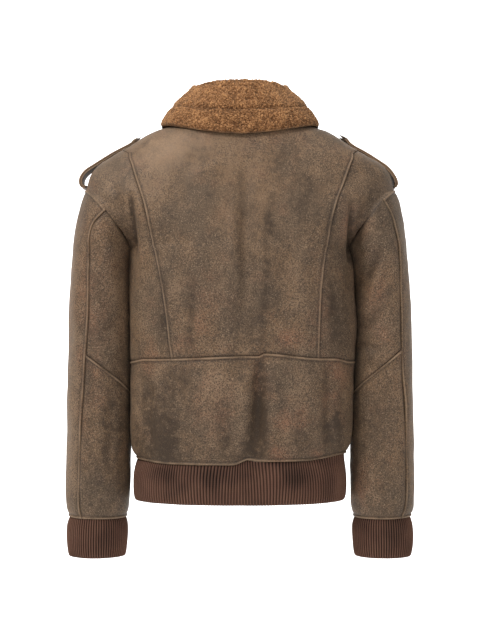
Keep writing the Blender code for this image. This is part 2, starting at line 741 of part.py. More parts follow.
def make_zip(collection):
    rows = list(range(0, RIB_FOOT_ROW + 1))
    line, ways = zip_line(rows)
    depth = LEATHER + SEAM_GAP + TAPE_CLEARANCE
    for side, word in ((1, "left"), (-1, "right")):
        tape = []
        walls = []
        for row, point, way in zip(rows, line, ways):
            share = front_share(row, FRONT_COLUMNS, side)
            next_share = front_share(row, FRONT_COLUMNS - 1, side)
            edge = body_point(row, side * share, False)
            inward = body_point(row, side * next_share, False)
            normal = body_normal(row, side * share, False)
            next_normal = body_normal(row, side * next_share, False)
            reach = (TAPE_OUTER_EDGE - FRONT_EDGE) / (abs(inward[0]) - FRONT_EDGE)
            outer_face = edge - normal * depth
            far_face = inward - next_normal * depth
            inner_edge = outer_face.copy()
            inner_edge[0] = side * (CHAIN_HALF_WIDTH + SEAM_GAP)
            tape += [inner_edge, outer_face, outer_face + (far_face - outer_face) * reach]
            walls += [-TAPE * way, -TAPE * normal, -TAPE * normal]
        shape = (len(rows), 3, 3)
        cloth("zip_tape_" + word, "tape", np.array(tape).reshape(shape),
              np.array(walls).reshape(shape), collection)
    middle = depth + TAPE / 2
    top = line[0] + (line[1] - line[0]) * CHAIN_TOP_SHARE
    chain_line = np.concatenate([[top], line[1:]])
    chain_ways = np.concatenate([[ways[1]], ways[1:]])
    chain = []
    for point, way in zip(chain_line, chain_ways):
        for x in (-CHAIN_HALF_WIDTH, CHAIN_HALF_WIDTH):
            chain.append(point + np.array([x, 0, 0]) - way * (middle - CHAIN_THICKNESS / 2))
    shape = (len(chain_line), 2, 3)
    walls = np.repeat(-CHAIN_THICKNESS * chain_ways, 2, axis=0).reshape(shape)
    cloth("zip_chain", "metal", np.array(chain).reshape(shape), walls, collection)
    make_slider(top - ways[1] * middle, line[1] - line[2], collection)


def block(name, low, high, collection):
    """A box between two corners, in millimetres."""
    bpy.ops.mesh.primitive_cube_add(size=1.0)
    box = bpy.context.object
    box.name = name
    size = np.subtract(high, low)
    middle = np.add(high, low) / 2
    for vertex in box.data.vertices:
        vertex.co = [(middle[axis] + vertex.co[axis] * size[axis]) * MM for axis in range(3)]
    for other in list(box.users_collection):
        other.objects.unlink(box)
    collection.objects.link(box)
    return box


def joined_by(piece, helper, operation):
    change = piece.modifiers.new(helper.name, "BOOLEAN")
    change.operation = operation
    change.object = helper
    helper.hide_render = True
    helper.display_type = "WIRE"


def make_slider(place, up, collection):
    """Slider at the top of the closed chain, and the pull tab that swings on its bridge."""
    cutters = bpy.data.collections.new("cutters")
    bpy.context.scene.collection.children.link(cutters)
    tilt = -math.atan2(up[1], up[2])
    inside = CHAIN_THICKNESS / 2 + SEAM_GAP
    outside = inside + PLATE_THICKNESS
    half = SLIDER_HALF_WIDTH
    low = SLIDER_TOP - SLIDER_LENGTH
    slider = block("zip_slider", (-half, -outside, low), (half, -inside, SLIDER_TOP), collection)
    under_plate = block("under_plate", (-half, inside, low), (half, outside, SLIDER_TOP), cutters)
    post = block("post", (-POST_HALF, -inside - BITE, POST_FOOT),
                 (POST_HALF, inside + BITE, POST_TOP), cutters)
    bridge = block("bridge", (-BRIDGE_HALF, -outside - BRIDGE_HEIGHT, BRIDGE_FOOT),
                   (BRIDGE_HALF, -outside + BITE, BRIDGE_TOP), cutters)
    eye = block("eye", (-CUT_THROUGH, -outside - BRIDGE_HEIGHT + BRIDGE_WALL, EYE_FOOT),
                (CUT_THROUGH, -outside - BITE, EYE_TOP), cutters)
    joined_by(slider, post, "UNION")
    joined_by(slider, under_plate, "UNION")
    joined_by(slider, bridge, "UNION")
    joined_by(slider, eye, "DIFFERENCE")
    place_in(slider, "metal", collection)

    axis = (-outside - BITE - (BRIDGE_HEIGHT - BRIDGE_WALL - BITE) / 2, PULL_AXIS_Z)
    half = PULL_WIDTH / 2
    thick = PULL_THICKNESS / 2
    pull = block("zip_pull", (-half, -thick, -PULL_LENGTH), (half, thick, thick), collection)
    window = block("window", (-BRIDGE_HALF - WINDOW_PLAY, -CUT_THROUGH, -WINDOW_LENGTH),
                   (BRIDGE_HALF + WINDOW_PLAY, CUT_THROUGH, CUT_THROUGH), cutters)
    bpy.ops.mesh.primitive_cylinder_add(vertices=16, radius=thick * MM, depth=(PULL_WIDTH - 1) * MM,
                                        rotation=(0, math.pi / 2, 0))
    bar = bpy.context.object
    bar.name = "bar"
    place_in(bar, "metal", cutters)
    joined_by(pull, window, "DIFFERENCE")
    joined_by(pull, bar, "UNION")
    place_in(pull, "metal", collection)

    seat = bpy.data.objects.new("slider_seat", None)
    hinge = bpy.data.objects.new("pull_hinge", None)
    for empty in (seat, hinge):
        collection.objects.link(empty)
    seat.location = place * MM
    seat.rotation_euler = (tilt, 0, 0)
    hinge.parent = seat
    hinge.location = (0, axis[0] * MM, axis[1] * MM)
    for piece in (slider, under_plate, post, bridge, eye):
        piece.parent = seat
    for piece in (pull, window, bar):
        piece.parent = hinge


def main():
    clear_scene()
    collection = bpy.data.collections.new("jacket")
    bpy.context.scene.collection.children.link(collection)
    make_body(collection)
    make_hem_rib(collection)
    for side, word in ((1, "left"), (-1, "right")):
        make_sleeve(side, word, collection)
        make_epaulette(side, word, collection)
    make_collar(collection)
    make_zip(collection)


main()
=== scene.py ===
"""Leather flight jacket with a fleece collar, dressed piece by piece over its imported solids.

Sizes in the tables are in millimetres.  The wearer faces -Y, +X is the wearer's left, +Z is up,
and the origin lies in the middle of the neck opening.
"""
import math

import bpy
import numpy as np
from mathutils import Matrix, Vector, noise


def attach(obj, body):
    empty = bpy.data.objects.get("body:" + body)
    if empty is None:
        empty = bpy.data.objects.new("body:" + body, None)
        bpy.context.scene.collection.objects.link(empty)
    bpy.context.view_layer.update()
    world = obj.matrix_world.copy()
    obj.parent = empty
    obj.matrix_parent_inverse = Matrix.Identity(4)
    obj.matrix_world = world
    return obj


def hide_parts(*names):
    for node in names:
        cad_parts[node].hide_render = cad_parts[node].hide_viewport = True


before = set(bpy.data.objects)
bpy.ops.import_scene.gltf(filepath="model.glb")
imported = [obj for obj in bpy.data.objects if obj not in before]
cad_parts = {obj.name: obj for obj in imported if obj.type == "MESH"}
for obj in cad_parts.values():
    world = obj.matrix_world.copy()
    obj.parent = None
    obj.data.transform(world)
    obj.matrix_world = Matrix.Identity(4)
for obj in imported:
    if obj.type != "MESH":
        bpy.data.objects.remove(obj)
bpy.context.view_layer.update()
MM = 0.001

# ---------------------------------------------------------------------------------------------
# Body: shearling hides, leather outwards and fleece inwards, 3 mm thick.  A centre back and two
# side backs end at the waist, a lower back spans side to side, and the fronts run neck to hem.
# Panels lap over their neighbours, with a raised edge stitched down about 5 mm from the fold.
# ---------------------------------------------------------------------------------------------
SHOULDER = (264.0, -112.0)
UNDERARM = (180.0, -215.0)
ARMHOLE_HALF_DEPTH = 95.0
ARMHOLE_STEPS = 8
ARMHOLE_BULGE = 12.0
LEVEL_FROM = 0.95
FRONT_EDGE = 5.0
# edge_x, edge_z, back_z, back_depth, front_z, front_depth, fullness, extra on the right
CREST_ROWS = (
    (85, 3, 6, 82, -85, 92, 0.86, 0),
    (106, 0, -4, 90, -93, 97, 0.86, 0),
    (131, -8, -16, 97, -102, 102.5, 0.85, 0),
    (156, -17, -29, 103, -111, 108, 0.84, 0),
    (193, -40, -52, 111, -124, 115.5, 0.82, 0),
    (219, -55, -68, 115.5, -134, 120.5, 0.80, 0),
    (247, -74, -86, 119, -145, 126, 0.78, 0),
    (259, -93, -101, 122, -155, 130.5, 0.76, 0),
)
ARMHOLE_TOP_MIDDLE = (-114, 124.5, -164, 134, 0.75, 0)
ARMHOLE_FOOT_MIDDLE = (-221, 132, -225, 142, 0.61, 0)
SIDE_ROWS = (
    (181, -245, -250, 131.5, -253, 144, 0.64, 3),
    (181.5, -280, -284, 130.5, -286, 145, 0.68, 6),
    (181.5, -315, -317, 129.5, -318, 145, 0.72, 8),
    (181.5, -350, -349, 128, -350, 144, 0.76, 9),
    (181.5, -378, -373, 127, -375, 142.5, 0.79, 9),
    (181.5, -398, -393, 126, -397, 141, 0.81, 8),
    (181.5, -440, -432, 128, -435, 141, 0.82, 6),
    (182, -480, -474, 128, -476, 140.5, 0.83, 4),
    (182, -520, -518, 125, -519, 138.5, 0.84, 2.5),
    (180.5, -552, -549, 120, -550, 134, 0.85, 1),
    (176.5, -570, -570, 115, -573, 128.5, 0.86, 0),
    (181.5, -597, -593, 117, -594, 128, 0.86, 0),
    (182, -620, -618, 116.5, -618, 126.5, 0.86, 0),
    (180, -640, -640, 112.5, -640, 122, 0.86, 0),
)
SHOULDER_ROW = len(CREST_ROWS)
UNDERARM_ROW = SHOULDER_ROW + ARMHOLE_STEPS
WAIST_ROW = UNDERARM_ROW + 6
HEM_ROW = UNDERARM_ROW + 11
RIB_FOOT_ROW = UNDERARM_ROW + 14
PRINCESS_TOP_ROW = 3
PRINCESS_TIP_SHARES = (0.99, 0.955)
PRINCESS_HEIGHTS = (-393, -328, -288, -246, -200, -170, -140, -99, -70, -46)
PRINCESS_LEFT = (114, 121, 127, 136, 146, 152, 159, 171, 181, 189)
PRINCESS_RIGHT = (131, 132.5, 134, 138.5, 146, 151.5, 160, 174.5, 185.5, 192)
# The hem seam climbs towards the right side: how far, from where, over what run, and its height
HEM_RISE = (12.0, 110.0, 60.0, -570.0, 28.0)
# The largest folds: start, end, half width, depth
BACK_FOLDS = (
    (-12, -60, -16, -370, 16, -3.0),
    (8, -80, 6, -350, 14, 1.5),
    (-38, -405, -14, -560, 15, -4.0),
    (150, -215, 158, -380, 14, -3.0),
    (-160, -225, -164, -380, 14, -3.0),
    (60, -420, 75, -540, 22, 2.0),
    (-100, -430, -95, -545, 22, 2.0),
)


def along(values, place):
    """The values at fractional places in a list, on a smooth curve through the list."""
    values = np.asarray(values, float)
    last = len(values) - 1
    place = np.clip(np.asarray(place, float), 0.0, last)
    start = np.minimum(place.astype(int), last - 1)
    share = place - start
    share = share.reshape(share.shape + (1,) * (values.ndim - 1))
    ends = np.concatenate([[2 * values[0] - values[1]], values, [2 * values[-1] - values[-2]]])
    a, b, c, d = (ends[start + step] for step in range(4))
    return 0.5 * (2 * b + (c - a) * share + (2 * a - 5 * b + 4 * c - d) * share ** 2
                  + (3 * b - a - 3 * c + d) * share ** 3)


def body_rows():
    rows = [row + (0.0,) for row in CREST_ROWS]
    for step in range(ARMHOLE_STEPS + 1):
        angle = math.pi * step / ARMHOLE_STEPS
        down = (1 - math.cos(angle)) / 2
        edge = [a + (b - a) * down for a, b in zip(SHOULDER, UNDERARM)]
        edge[1] += ARMHOLE_BULGE * math.sin(angle) ** 2
        middle = [a + (b - a) * step / ARMHOLE_STEPS
                  for a, b in zip(ARMHOLE_TOP_MIDDLE, ARMHOLE_FOOT_MIDDLE)]
        rows.append((*edge, *middle, ARMHOLE_HALF_DEPTH * math.sin(angle)))
    return np.array(rows + [row + (0.0,) for row in SIDE_ROWS], float).T


(EDGE_X, EDGE_Z, BACK_Z, BACK_DEPTH, FRONT_Z, FRONT_DEPTH, FULLNESS, RIGHT_EXTRA,
 EDGE_Y) = body_rows()


def turn_at(row, back):
    depth = along(BACK_DEPTH if back else FRONT_DEPTH, row)
    edge_y = np.maximum(along(EDGE_Y, row), 0.0)
    return np.arccos(np.minimum(edge_y / depth, 1.0) ** (1 / along(FULLNESS, row)))


def edge_at(row, side):
    return along(EDGE_X, row) + along(RIGHT_EXTRA, row) * (side < 0)


def trough(x, z, folds):
    """Height of soft folds, each along its own line, fading in and out."""
    total = np.zeros_like(x)
    for x0, z0, x1, z1, half_width, depth in folds:
        run_x = x1 - x0
        run_z = z1 - z0
        share = ((x - x0) * run_x + (z - z0) * run_z) / (run_x ** 2 + run_z ** 2)
        inside = np.clip(share, 0.0, 1.0)
        away = np.hypot(x - x0 - inside * run_x, z - z0 - inside * run_z)
        fade = np.sin(math.pi * inside).clip(0) ** 0.5
        total += depth * fade * np.exp(-(away / half_width) ** 2)
    return total


def body_point(row, share, back):
    """Points of the body; the share runs from 0 at the centre to 1 at the side, left positive."""
    row, share = np.broadcast_arrays(np.asarray(row, float), np.asarray(share, float))
    side = np.where(share < 0, -1.0, 1.0)
    part = np.minimum(np.abs(share), 1.0)
    turn = turn_at(row, back)
    power = along(FULLNESS, row)
    edge_x = edge_at(row, side)
    edge_z = along(EDGE_Z, row)
    middle_z = along(BACK_Z if back else FRONT_Z, row)
    depth = along(BACK_DEPTH if back else FRONT_DEPTH, row)
    x = side * edge_x * (np.sin(turn * part) / np.sin(turn)) ** power
    deep = np.maximum(np.cos(turn * part), 0.0) ** power
    climb = np.minimum(np.abs(x) / edge_x / LEVEL_FROM, 1.0)
    z = middle_z + (edge_z - middle_z) * climb ** 2 * (3 - 2 * climb)
    rise, start, run, middle, reach = HEM_RISE
    drawn = np.clip((-x - start) / run, 0.0, 1.0)
    z = z + rise * np.exp(-((z - middle) / reach) ** 2) * drawn ** 2 * (3 - 2 * drawn)
    y = depth * deep
    if back:
        return np.stack([x, y + trough(x, z, BACK_FOLDS) * deep, z], axis=-1)
    return np.stack([x, -y, z], axis=-1)


def share_at(row, offset, back, side=1):
    turn = turn_at(row, back)
    reach = np.minimum(offset / edge_at(row, side), 1.0)
    return np.arcsin(np.minimum(reach ** (1 / along(FULLNESS, row)) * np.sin(turn), 1.0)) / turn


def princess_share(row, side):
    """Where the princess seam crosses a row of the back; above the tip it stays at the edge."""
    row = np.asarray(row, float)
    whole = np.arange(0, WAIST_ROW + 1)
    height = BACK_Z[whole] * 0.35 + EDGE_Z[whole] * 0.65
    offsets = PRINCESS_LEFT if side > 0 else PRINCESS_RIGHT
    share = share_at(whole, np.interp(height, PRINCESS_HEIGHTS, offsets), True, side)
    share[:PRINCESS_TOP_ROW] = 1.0
    share[PRINCESS_TOP_ROW:PRINCESS_TOP_ROW + 2] = PRINCESS_TIP_SHARES
    return np.interp(row, whole, share)


FINE_STEPS = np.array([0.0, 0.7, 1.5, 2.4, 3.4, 4.4, 5.2, 6.0, 7.4, 9.5])
# Lines shorter than this have their fine steps drawn together
FULL_STEPS_FROM = 30.0
# Points of a line besides those spaced by its pitch, and how finely a panel is measured first
EXTRA_POINTS = 16
PLACES_DOWN = 400
PLACES_ACROSS = 160


def steps(length, count):
    """Places along a seam-to-seam line: close together at both worked edges, even between."""
    edge = FINE_STEPS * min(1.0, length / FULL_STEPS_FROM)
    middle = np.linspace(edge[-1], length - edge[-1], count - 2 * (len(FINE_STEPS) - 1))
    return np.concatenate([edge[:-1], middle, length - edge[-2::-1]])


def lengths(points, axis):
    """Distance run along the rows or columns of a lattice."""
    run = np.linalg.norm(np.diff(points, axis=axis), axis=-1)
    start = np.zeros_like(np.take(run, [0], axis=axis))
    return np.concatenate([start, np.cumsum(run, axis=axis)], axis=axis)


def lattice(point_at, first, last, left, right, pitch):
    """Points between two rows and two seams; worked edges keep their width at every row."""
    guide = np.linspace(first, last, PLACES_DOWN)
    run = lengths(point_at(guide, (left(guide) + right(guide)) / 2), 0)
    rows = np.interp(steps(run[-1], int(run[-1] / pitch) + EXTRA_POINTS), run, guide)[:, None]
    starts = left(rows)
    ends = right(rows)
    across = np.linspace(0.0, 1.0, PLACES_ACROSS)
    widths = lengths(point_at(rows, starts + (ends - starts) * across), 1)
    count = int(widths[:, -1].max() / pitch) + EXTRA_POINTS
    columns = np.array([np.interp(steps(width[-1], count), width, across) for width in widths])
    return point_at(rows, starts + (ends - starts) * columns)


def outward(points, flip):
    """Unit normals of a lattice."""
    down = np.gradient(points, axis=0)
    across = np.gradient(points, axis=1)
    normal = np.cross(across, down) * (-1.0 if flip else 1.0)
    return normal / np.linalg.norm(normal, axis=-1, keepdims=True)


# Distance from the edge of a panel and height there: folded over and stitched down, tucked under
# its neighbour, or turned in
EDGES = {
    "welt": ((0, 0.7, 1.6, 2.6, 3.6, 4.4, 5.4, 8.5, 14),
             (-0.4, 0.8, 1.35, 1.25, 0.4, -0.55, -0.5, 0.15, 0.0)),
    "tuck": ((0, 1.0, 2.2, 3.6, 6.0, 12), (-1.5, -1.3, -0.6, -0.1, 0.2, 0.0)),
    "plain": ((0, 0.8, 2.0, 4.0), (-1.0, -0.3, 0.0, 0.0)),
}
# The same distances, and how far the fold has paled, then the painted shade in its stitching
# groove and the painted shadow under the neighbour's edge along a tuck
WELT_PALES = ((0, 0.8, 2.9, 4.0), (0.2, 1.0, 0.85, 0.0))
WELT_GROOVE_SHADE = ((3.6, 4.5, 5.4, 9), (0.0, 0.85, 0.5, 0.0))
TUCK_SHADE = ((0, 1.4, 3.4, 8), (1.0, 0.8, 0.25, 0.0))
# Where two worked edges cross, the second rises by its lowest share, and fully from here on
CROSSING_REACH = 6.0
CROSSING_LEAST = 0.35
# Waves added up in an uneven surface, and what brings their sum to about -1 to 1
WAVES = 7
WAVES_SUM = 3.2


def wander(points, wavelength, seed):
    """Slow uneven waves, different at every place, between about -1 and 1."""
    dice = np.random.default_rng(seed)
    total = np.zeros(points.shape[:-1])
    for _ in range(WAVES):
        way = dice.normal(size=3)
        way *= 2 * math.pi / (wavelength * dice.uniform(0.7, 1.6)) / np.linalg.norm(way)
        total += np.sin(points @ way + dice.uniform(0, 2 * math.pi))
    return total / WAVES_SUM


def every(count, stride):
    """Each so-manieth place along a line, with its last."""
    return np.unique(np.append(np.arange(0, count, stride), count - 1))


def mesh_piece(name, verts, faces):
    """A smooth mesh at the origin, in the scene."""
    mesh = bpy.data.meshes.new(name)
    mesh.from_pydata(verts, [], faces)
    mesh.polygons.foreach_set("use_smooth", [True] * len(faces))
    piece = bpy.data.objects.new(name, mesh)
    bpy.context.scene.collection.objects.link(piece)
    return piece


def face_outwards(mesh):
    """Turn a closed shell that was made inside out."""
    if sum(face.center.dot(face.normal) * face.area for face in mesh.polygons) < 0:
        mesh.flip_normals()


# Piece, and the outer point that each of its inner points lies behind
BEHIND = {}


def cloth_piece(name, points, normals, thickness, inner_drop=None, around=False, stride=2):
    """A closed shell: the outer lattice, a coarser inner wall a thickness inside it, and rims."""
    rows, columns = points.shape[:2]
    inner = points - normals * thickness if inner_drop is None else points - inner_drop
    down = every(rows, 2)
    across = np.arange(0, columns, stride) if around else every(columns, stride)
    inner = inner[down][:, across]
    index = np.arange(rows * columns).reshape(rows, columns)
    BEHIND[name] = index[down][:, across].reshape(-1)
    far = np.arange(len(down) * len(across)).reshape(len(down), len(across)) + rows * columns
    if around:
        index = np.concatenate([index, index[:, :1]], axis=1)
        far = np.concatenate([far, far[:, :1]], axis=1)
        across = np.append(across, columns)
    outer_faces = np.stack([index[:-1, :-1], index[1:, :-1], index[1:, 1:], index[:-1, 1:]], -1)
    outer_faces = outer_faces.reshape(-1, 4).tolist()
    inner_faces = np.stack([far[:-1, :-1], far[:-1, 1:], far[1:, 1:], far[1:, :-1]], -1)
    inner_faces = inner_faces.reshape(-1, 4).tolist()

    def rim(edge, wall, places):
        return [[*edge[a:b + 1].tolist(), int(wall[step + 1]), int(wall[step])]
                for step, (a, b) in enumerate(zip(places[:-1], places[1:]))]

    rims = rim(index[0], far[0], across) + [face[::-1] for face in rim(index[-1], far[-1], across)]
    if not around:
        rims += [face[::-1] for face in rim(index[:, 0], far[:, 0], down)]
        rims += rim(index[:, -1], far[:, -1], down)
    faces = outer_faces + inner_faces + rims
    piece = mesh_piece(name, np.concatenate([points.reshape(-1, 3), inner.reshape(-1, 3)]) * MM, faces)
    side = np.zeros(len(faces), np.int32)
    side[len(outer_faces):len(outer_faces) + len(inner_faces)] = 1
    piece.data.polygons.foreach_set("material_index", side)
    face_outwards(piece.data)
    return piece


def paint(piece, name, values):
    """Write one value for each outer point, and the same for the inner points behind them."""
    values = np.asarray(values, np.float32).reshape(-1)
    layer = piece.data.attributes.new(name, "FLOAT", "POINT")
    layer.data.foreach_set("value", np.concatenate([values, values[BEHIND[piece.name]]]))


def worked(points, edges):
    """How far the edges of a panel rise or tuck under, how pale they have become, and how much painted
    shade lies in their grooves and tucks.
    """
    down = lengths(points, 0)
    across = lengths(points, 1)
    reach = {"top": down, "foot": down[-1:] - down, "start": across, "end": across[:, -1:] - across}
    lift, light, dark = (np.zeros(points.shape[:2]) for _ in range(3))
    crossed = np.full(points.shape[:2], np.inf)
    for edge, kind in edges.items():
        away = reach[edge]
        lift += np.interp(away, *EDGES[kind]) * np.clip(crossed / CROSSING_REACH, CROSSING_LEAST, 1.0)
        crossed = np.minimum(crossed, away)
        if kind == "welt":
            light = np.maximum(light, np.interp(away, *WELT_PALES))
            dark = np.maximum(dark, np.interp(away, *WELT_GROOVE_SHADE))
        if kind == "tuck":
            dark = np.maximum(dark, np.interp(away, *TUCK_SHADE))
    return lift, light, dark


# Marks on the leather: facing (1 back, -1 front), x, z, half width, half height, and how
# strong: tan and reddish rubbed places, then dark places, partly real stains and partly painted
# shade in the folds, in the lower back's trough and beside the armholes
RUBBED = (
    (1, 38, -480, 24, 20, 1.0), (1, 45, -455, 16, 30, 0.6), (1, -86, -500, 24, 14, 1.0),
    (1, -145, -465, 14, 14, 0.8), (1, -168, -422, 12, 20, 0.8), (1, -86, -365, 26, 14, 0.7),
    (1, 89, -370, 16, 14, 0.7), (1, 70, -340, 10, 30, 0.35), (1, -60, -20, 40, 30, 0.3),
    (1, -30, -430, 12, 30, 0.5), (1, 60, -300, 30, 60, 0.25), (1, -140, -330, 12, 46, 0.5),
    (1, -60, -550, 14, 10, 0.7), (1, -130, -555, 12, 8, 0.6), (1, 148, -400, 14, 20, 0.5),
    (1, 255, -280, 40, 110, 0.3), (1, -190, -170, 20, 30, 0.6), (1, -225, -290, 20, 60, 0.4),
    (1, -200, -620, 14, 40, 0.6), (1, 240, -420, 14, 60, 0.3), (1, 265, -420, 8, 120, 0.4),
    (-1, 90, -190, 50, 60, 0.6), (-1, -100, -220, 44, 70, 0.55), (-1, -60, -430, 60, 50, 0.7),
    (-1, 70, -480, 40, 70, 0.6), (-1, 130, -330, 40, 60, 0.4), (-1, -150, -520, 40, 40, 0.5),
    (-1, 240, -300, 40, 90, 0.5), (-1, -240, -380, 40, 90, 0.5), (-1, 240, -560, 40, 60, 0.4),
)
STAINS_AND_SHADE = (
    (1, 133, -505, 30, 54, 0.9), (1, 150, -540, 26, 26, 0.7), (1, -25, -514, 12, 52, 1.0),
    (1, -30, -430, 10, 40, 0.6), (1, -162, -500, 14, 50, 0.9), (1, 91, -432, 16, 34, 0.5),
    (1, -100, -535, 26, 24, 0.5), (1, -60, -430, 14, 30, 0.3), (1, 0, -560, 20, 14, 0.5),
    (1, 198, -128, 12, 40, 0.5), (1, 180, -180, 10, 36, 0.5), (1, -222, -130, 14, 30, 0.5),
    (1, -196, -190, 12, 34, 0.5), (1, 0, -200, 26, 70, 0.35), (1, -18, -350, 14, 50, 0.5),
    (1, 10, -340, 12, 50, 0.35), (1, -60, -240, 30, 60, 0.25), (1, -100, -130, 30, 40, 0.35),
    (1, -70, -60, 40, 30, 0.35), (1, 210, -530, 34, 100, 0.45), (1, 196, -620, 16, 50, 0.4),
    (1, -220, -520, 34, 90, 0.35), (1, 200, -400, 10, 60, 0.25), (1, 250, -480, 14, 100, 0.3),
    (-1, 40, -280, 40, 60, 0.5), (-1, -70, -330, 44, 50, 0.5), (-1, 120, -540, 44, 36, 0.7),
    (-1, -120, -420, 36, 50, 0.5), (-1, 200, -240, 24, 80, 0.6), (-1, -200, -240, 24, 80, 0.6),
)
# Painted shade along the folds and along the creases beside the armholes, then painted light
# along the ridges between folds, each along its own line: start, end, half width, strength
FOLD_SHADE = (
    (-52, -116, -44, -262, 9, 0.8), (-43, -250, -33, -392, 9, 0.9),
    (-144, -116, -150, -250, 9, 0.58), (-148, -240, -156, -392, 12, 0.72),
    (124, -246, 126, -392, 8, 0.65), (80, -250, 82, -392, 9, 0.61), (180, -124, 174, -230, 5, 1.0),
    (-184, -138, -184, -240, 5, 1.3), (200, -170, 182, -214, 9, 0.5),
    (-206, -176, -186, -216, 9, 0.5), (-30, -396, -36, -565, 10, 1.4),
    (-30, -470, -18, -572, 14, 1.4), (108, -400, 128, -566, 15, 0.86),
    (126, -490, 118, -590, 24, 0.96), (146, -470, 142, -566, 12, 0.6),
    (-142, -400, -146, -566, 13, 0.74), (-166, -430, -160, -566, 10, 0.6),
    (-44, -425, -50, -470, 8, 0.48), (20, -520, 34, -566, 8, 0.48), (6, -120, 14, -392, 8, 0.36),
    (-84, -60, -40, -120, 16, 0.43), (30, -56, 90, -66, 10, 0.36),
    (-176, -240, -172, -392, 9, 0.4), (-120, -396, -120, -440, 8, 0.36),
    (84, -398, 92, -440, 9, 0.54), (20, -410, 30, -560, 14, 0.35), (60, -470, 76, -566, 12, 0.3),
    (-238, -212, -196, -286, 8, 0.6), (-252, -268, -206, -360, 10, 0.5),
    (-200, -300, -204, -384, 7, 0.4), (-246, -400, -238, -560, 12, 0.4),
    (214, -420, 222, -600, 12, 0.4), (236, -250, 224, -350, 10, 0.35),
)
RIDGE_LIGHT = (
    (-14, -116, -8, -392, 9, 0.57), (-82, -116, -106, -392, 13, 0.41),
    (104, -250, 104, -330, 8, 0.47), (42, -398, 62, -560, 15, 0.54),
    (-100, -400, -74, -560, 14, 0.54), (136, -398, 140, -450, 7, 0.47), (8, -398, 8, -470, 8, 0.2),
    (-172, -396, -172, -440, 7, 0.47), (150, -120, 160, -240, 8, 0.27),
)
# Places where the grain is rubbed smooth, mostly across the left of the yoke
SMOOTHED = ((1, 100, -50, 90, 60, 1.0), (1, 0, -120, 150, 90, 0.6), (1, 0, -250, 150, 60, 0.2),
            (1, 40, -30, 60, 30, 0.7), (-1, 0, -100, 160, 80, 0.7), (1, 200, -80, 30, 30, 0.6))
# Places painted paler and tanner: tan patches rubbed into the back, the yoke (strongest on the
# left, partly tan wear and partly painted light), and painted light along the sleeves' outer
# edges and along their inner edges beside the body
PALE_TAN_AND_LIGHT = (
    (1, 120, -50, 50, 40, 0.8), (1, 150, -110, 34, 60, 0.45), (1, 0, -40, 110, 50, 0.25),
    (1, -120, -50, 40, 30, 0.25), (1, 222, -110, 24, 40, 0.5), (1, 38, -440, 22, 30, 0.9),
    (1, -86, -440, 20, 40, 0.3), (1, 170, -460, 8, 60, 0.6), (1, 160, -320, 12, 60, 0.4),
    (1, 24, -250, 14, 90, 0.25), (1, 292, -280, 15, 150, 0.9), (1, 290, -520, 20, 160, 1.1),
    (1, 196, -320, 12, 120, 0.55), (1, -200, -320, 12, 110, 0.3),
    (1, -294, -300, 10, 160, 0.4), (1, -297, -520, 8, 160, 0.5), (-1, 110, -60, 60, 50, 0.6),
    (-1, -110, -60, 60, 50, 0.6), (-1, 290, -300, 16, 170, 0.7), (-1, -290, -300, 16, 170, 0.7),
    (-1, 294, -520, 12, 140, 0.6), (-1, -294, -520, 12, 140, 0.6),
)


def spots(points, marks, seed):
    """Strength of soft, ragged marks at each point."""
    total = np.zeros(points.shape[:-1])
    ragged = 1.0 + 0.35 * wander(points, 55.0, seed) + 0.2 * wander(points, 22.0, seed + 1)
    for facing, x, z, half_width, half_height, strength in marks:
        away = np.hypot((points[..., 0] - x) / half_width, (points[..., 2] - z) / half_height)
        own = strength * np.exp(-(away * ragged) ** 2)
        total = np.maximum(total, own * (points[..., 1] * facing > 0))
    return total


class Finish:
    """A material on the piece's own coordinates, built up node by node."""

    def __init__(self, name):
        self.material = bpy.data.materials.new(name)
        self.material.use_nodes = True
        self.tree = self.material.node_tree
        self.shader = self.tree.nodes["Principled BSDF"]
        self.place = self.node("TexCoord", "Object")

    def feed(self, socket, value):
        """Link a socket to another one, or set its own value."""
        if isinstance(value, bpy.types.NodeSocket):
            self.tree.links.new(value, socket)
        else:
            socket.default_value = value

    def node(self, kind, output, inputs=(), **settings):
        made = self.tree.nodes.new("ShaderNode" + kind)
        for setting, value in settings.items():
            setattr(made, setting, value)
        for socket, value in dict(inputs).items():
            self.feed(made.inputs[socket], value)
        return made.outputs[output]

    def noise(self, scale, detail, rough=0.5, distortion=0.0):
        return self.node("TexNoise", "Fac", {"Vector": self.place, "Scale": scale, "Detail": detail,
                                             "Roughness": rough, "Distortion": distortion})

    def cells(self, scale):
        return self.node("TexVoronoi", "Distance", {"Vector": self.place, "Scale": scale})

    def painted(self, attribute):
        return self.node("Attribute", "Fac", attribute_name=attribute)

    def ramp(self, source, low, high, to_low=0.0, to_high=1.0, curve="SMOOTHSTEP"):
        return self.node("MapRange", "Result", {"Value": source, "From Min": low, "From Max": high,
                                                "To Min": to_low, "To Max": to_high},
                         interpolation_type=curve)

    def number(self, operation, *values, **settings):
        return self.node("Math", 0, enumerate(values), operation=operation, **settings)

    def times(self, *values):
        product = values[0]
        for value in values[1:]:
            product = self.number("MULTIPLY", product, value)
        return product

    def mix(self, ground, colour, share):
        return self.node("Mix", "Result", {"A": ground, "B": colour, "Factor": share}, data_type="RGBA")

    def tones(self, source, first, last, *between):
        """Colours by height: each a place from 0 to 1 and its red, green and blue."""
        made = self.tree.nodes.new("ShaderNodeValToRGB")
        stops = made.color_ramp.elements
        for stop, (position, colour) in zip(stops, (first, last)):
            stop.position = position
            stop.color = (*colour, 1)
        for position, colour in between:
            stops.new(position).color = (*colour, 1)
        self.feed(made.inputs["Fac"], source)
        return made.outputs["Color"]

    def bump(self, height, strength, distance, under=None, invert=False):
        inputs = {"Height": height, "Strength": strength, "Distance": distance}
        if under is not None:
            inputs["Normal"] = under
        return self.node("Bump", "Normal", inputs, invert=invert)

    def shade(self, **inputs):
        """Feed the shader: Base_Color for its Base Color, and so on; returns the material."""
        for socket, value in inputs.items():
            self.feed(self.shader.inputs[socket.replace("_", " ")], value)
        return self.material


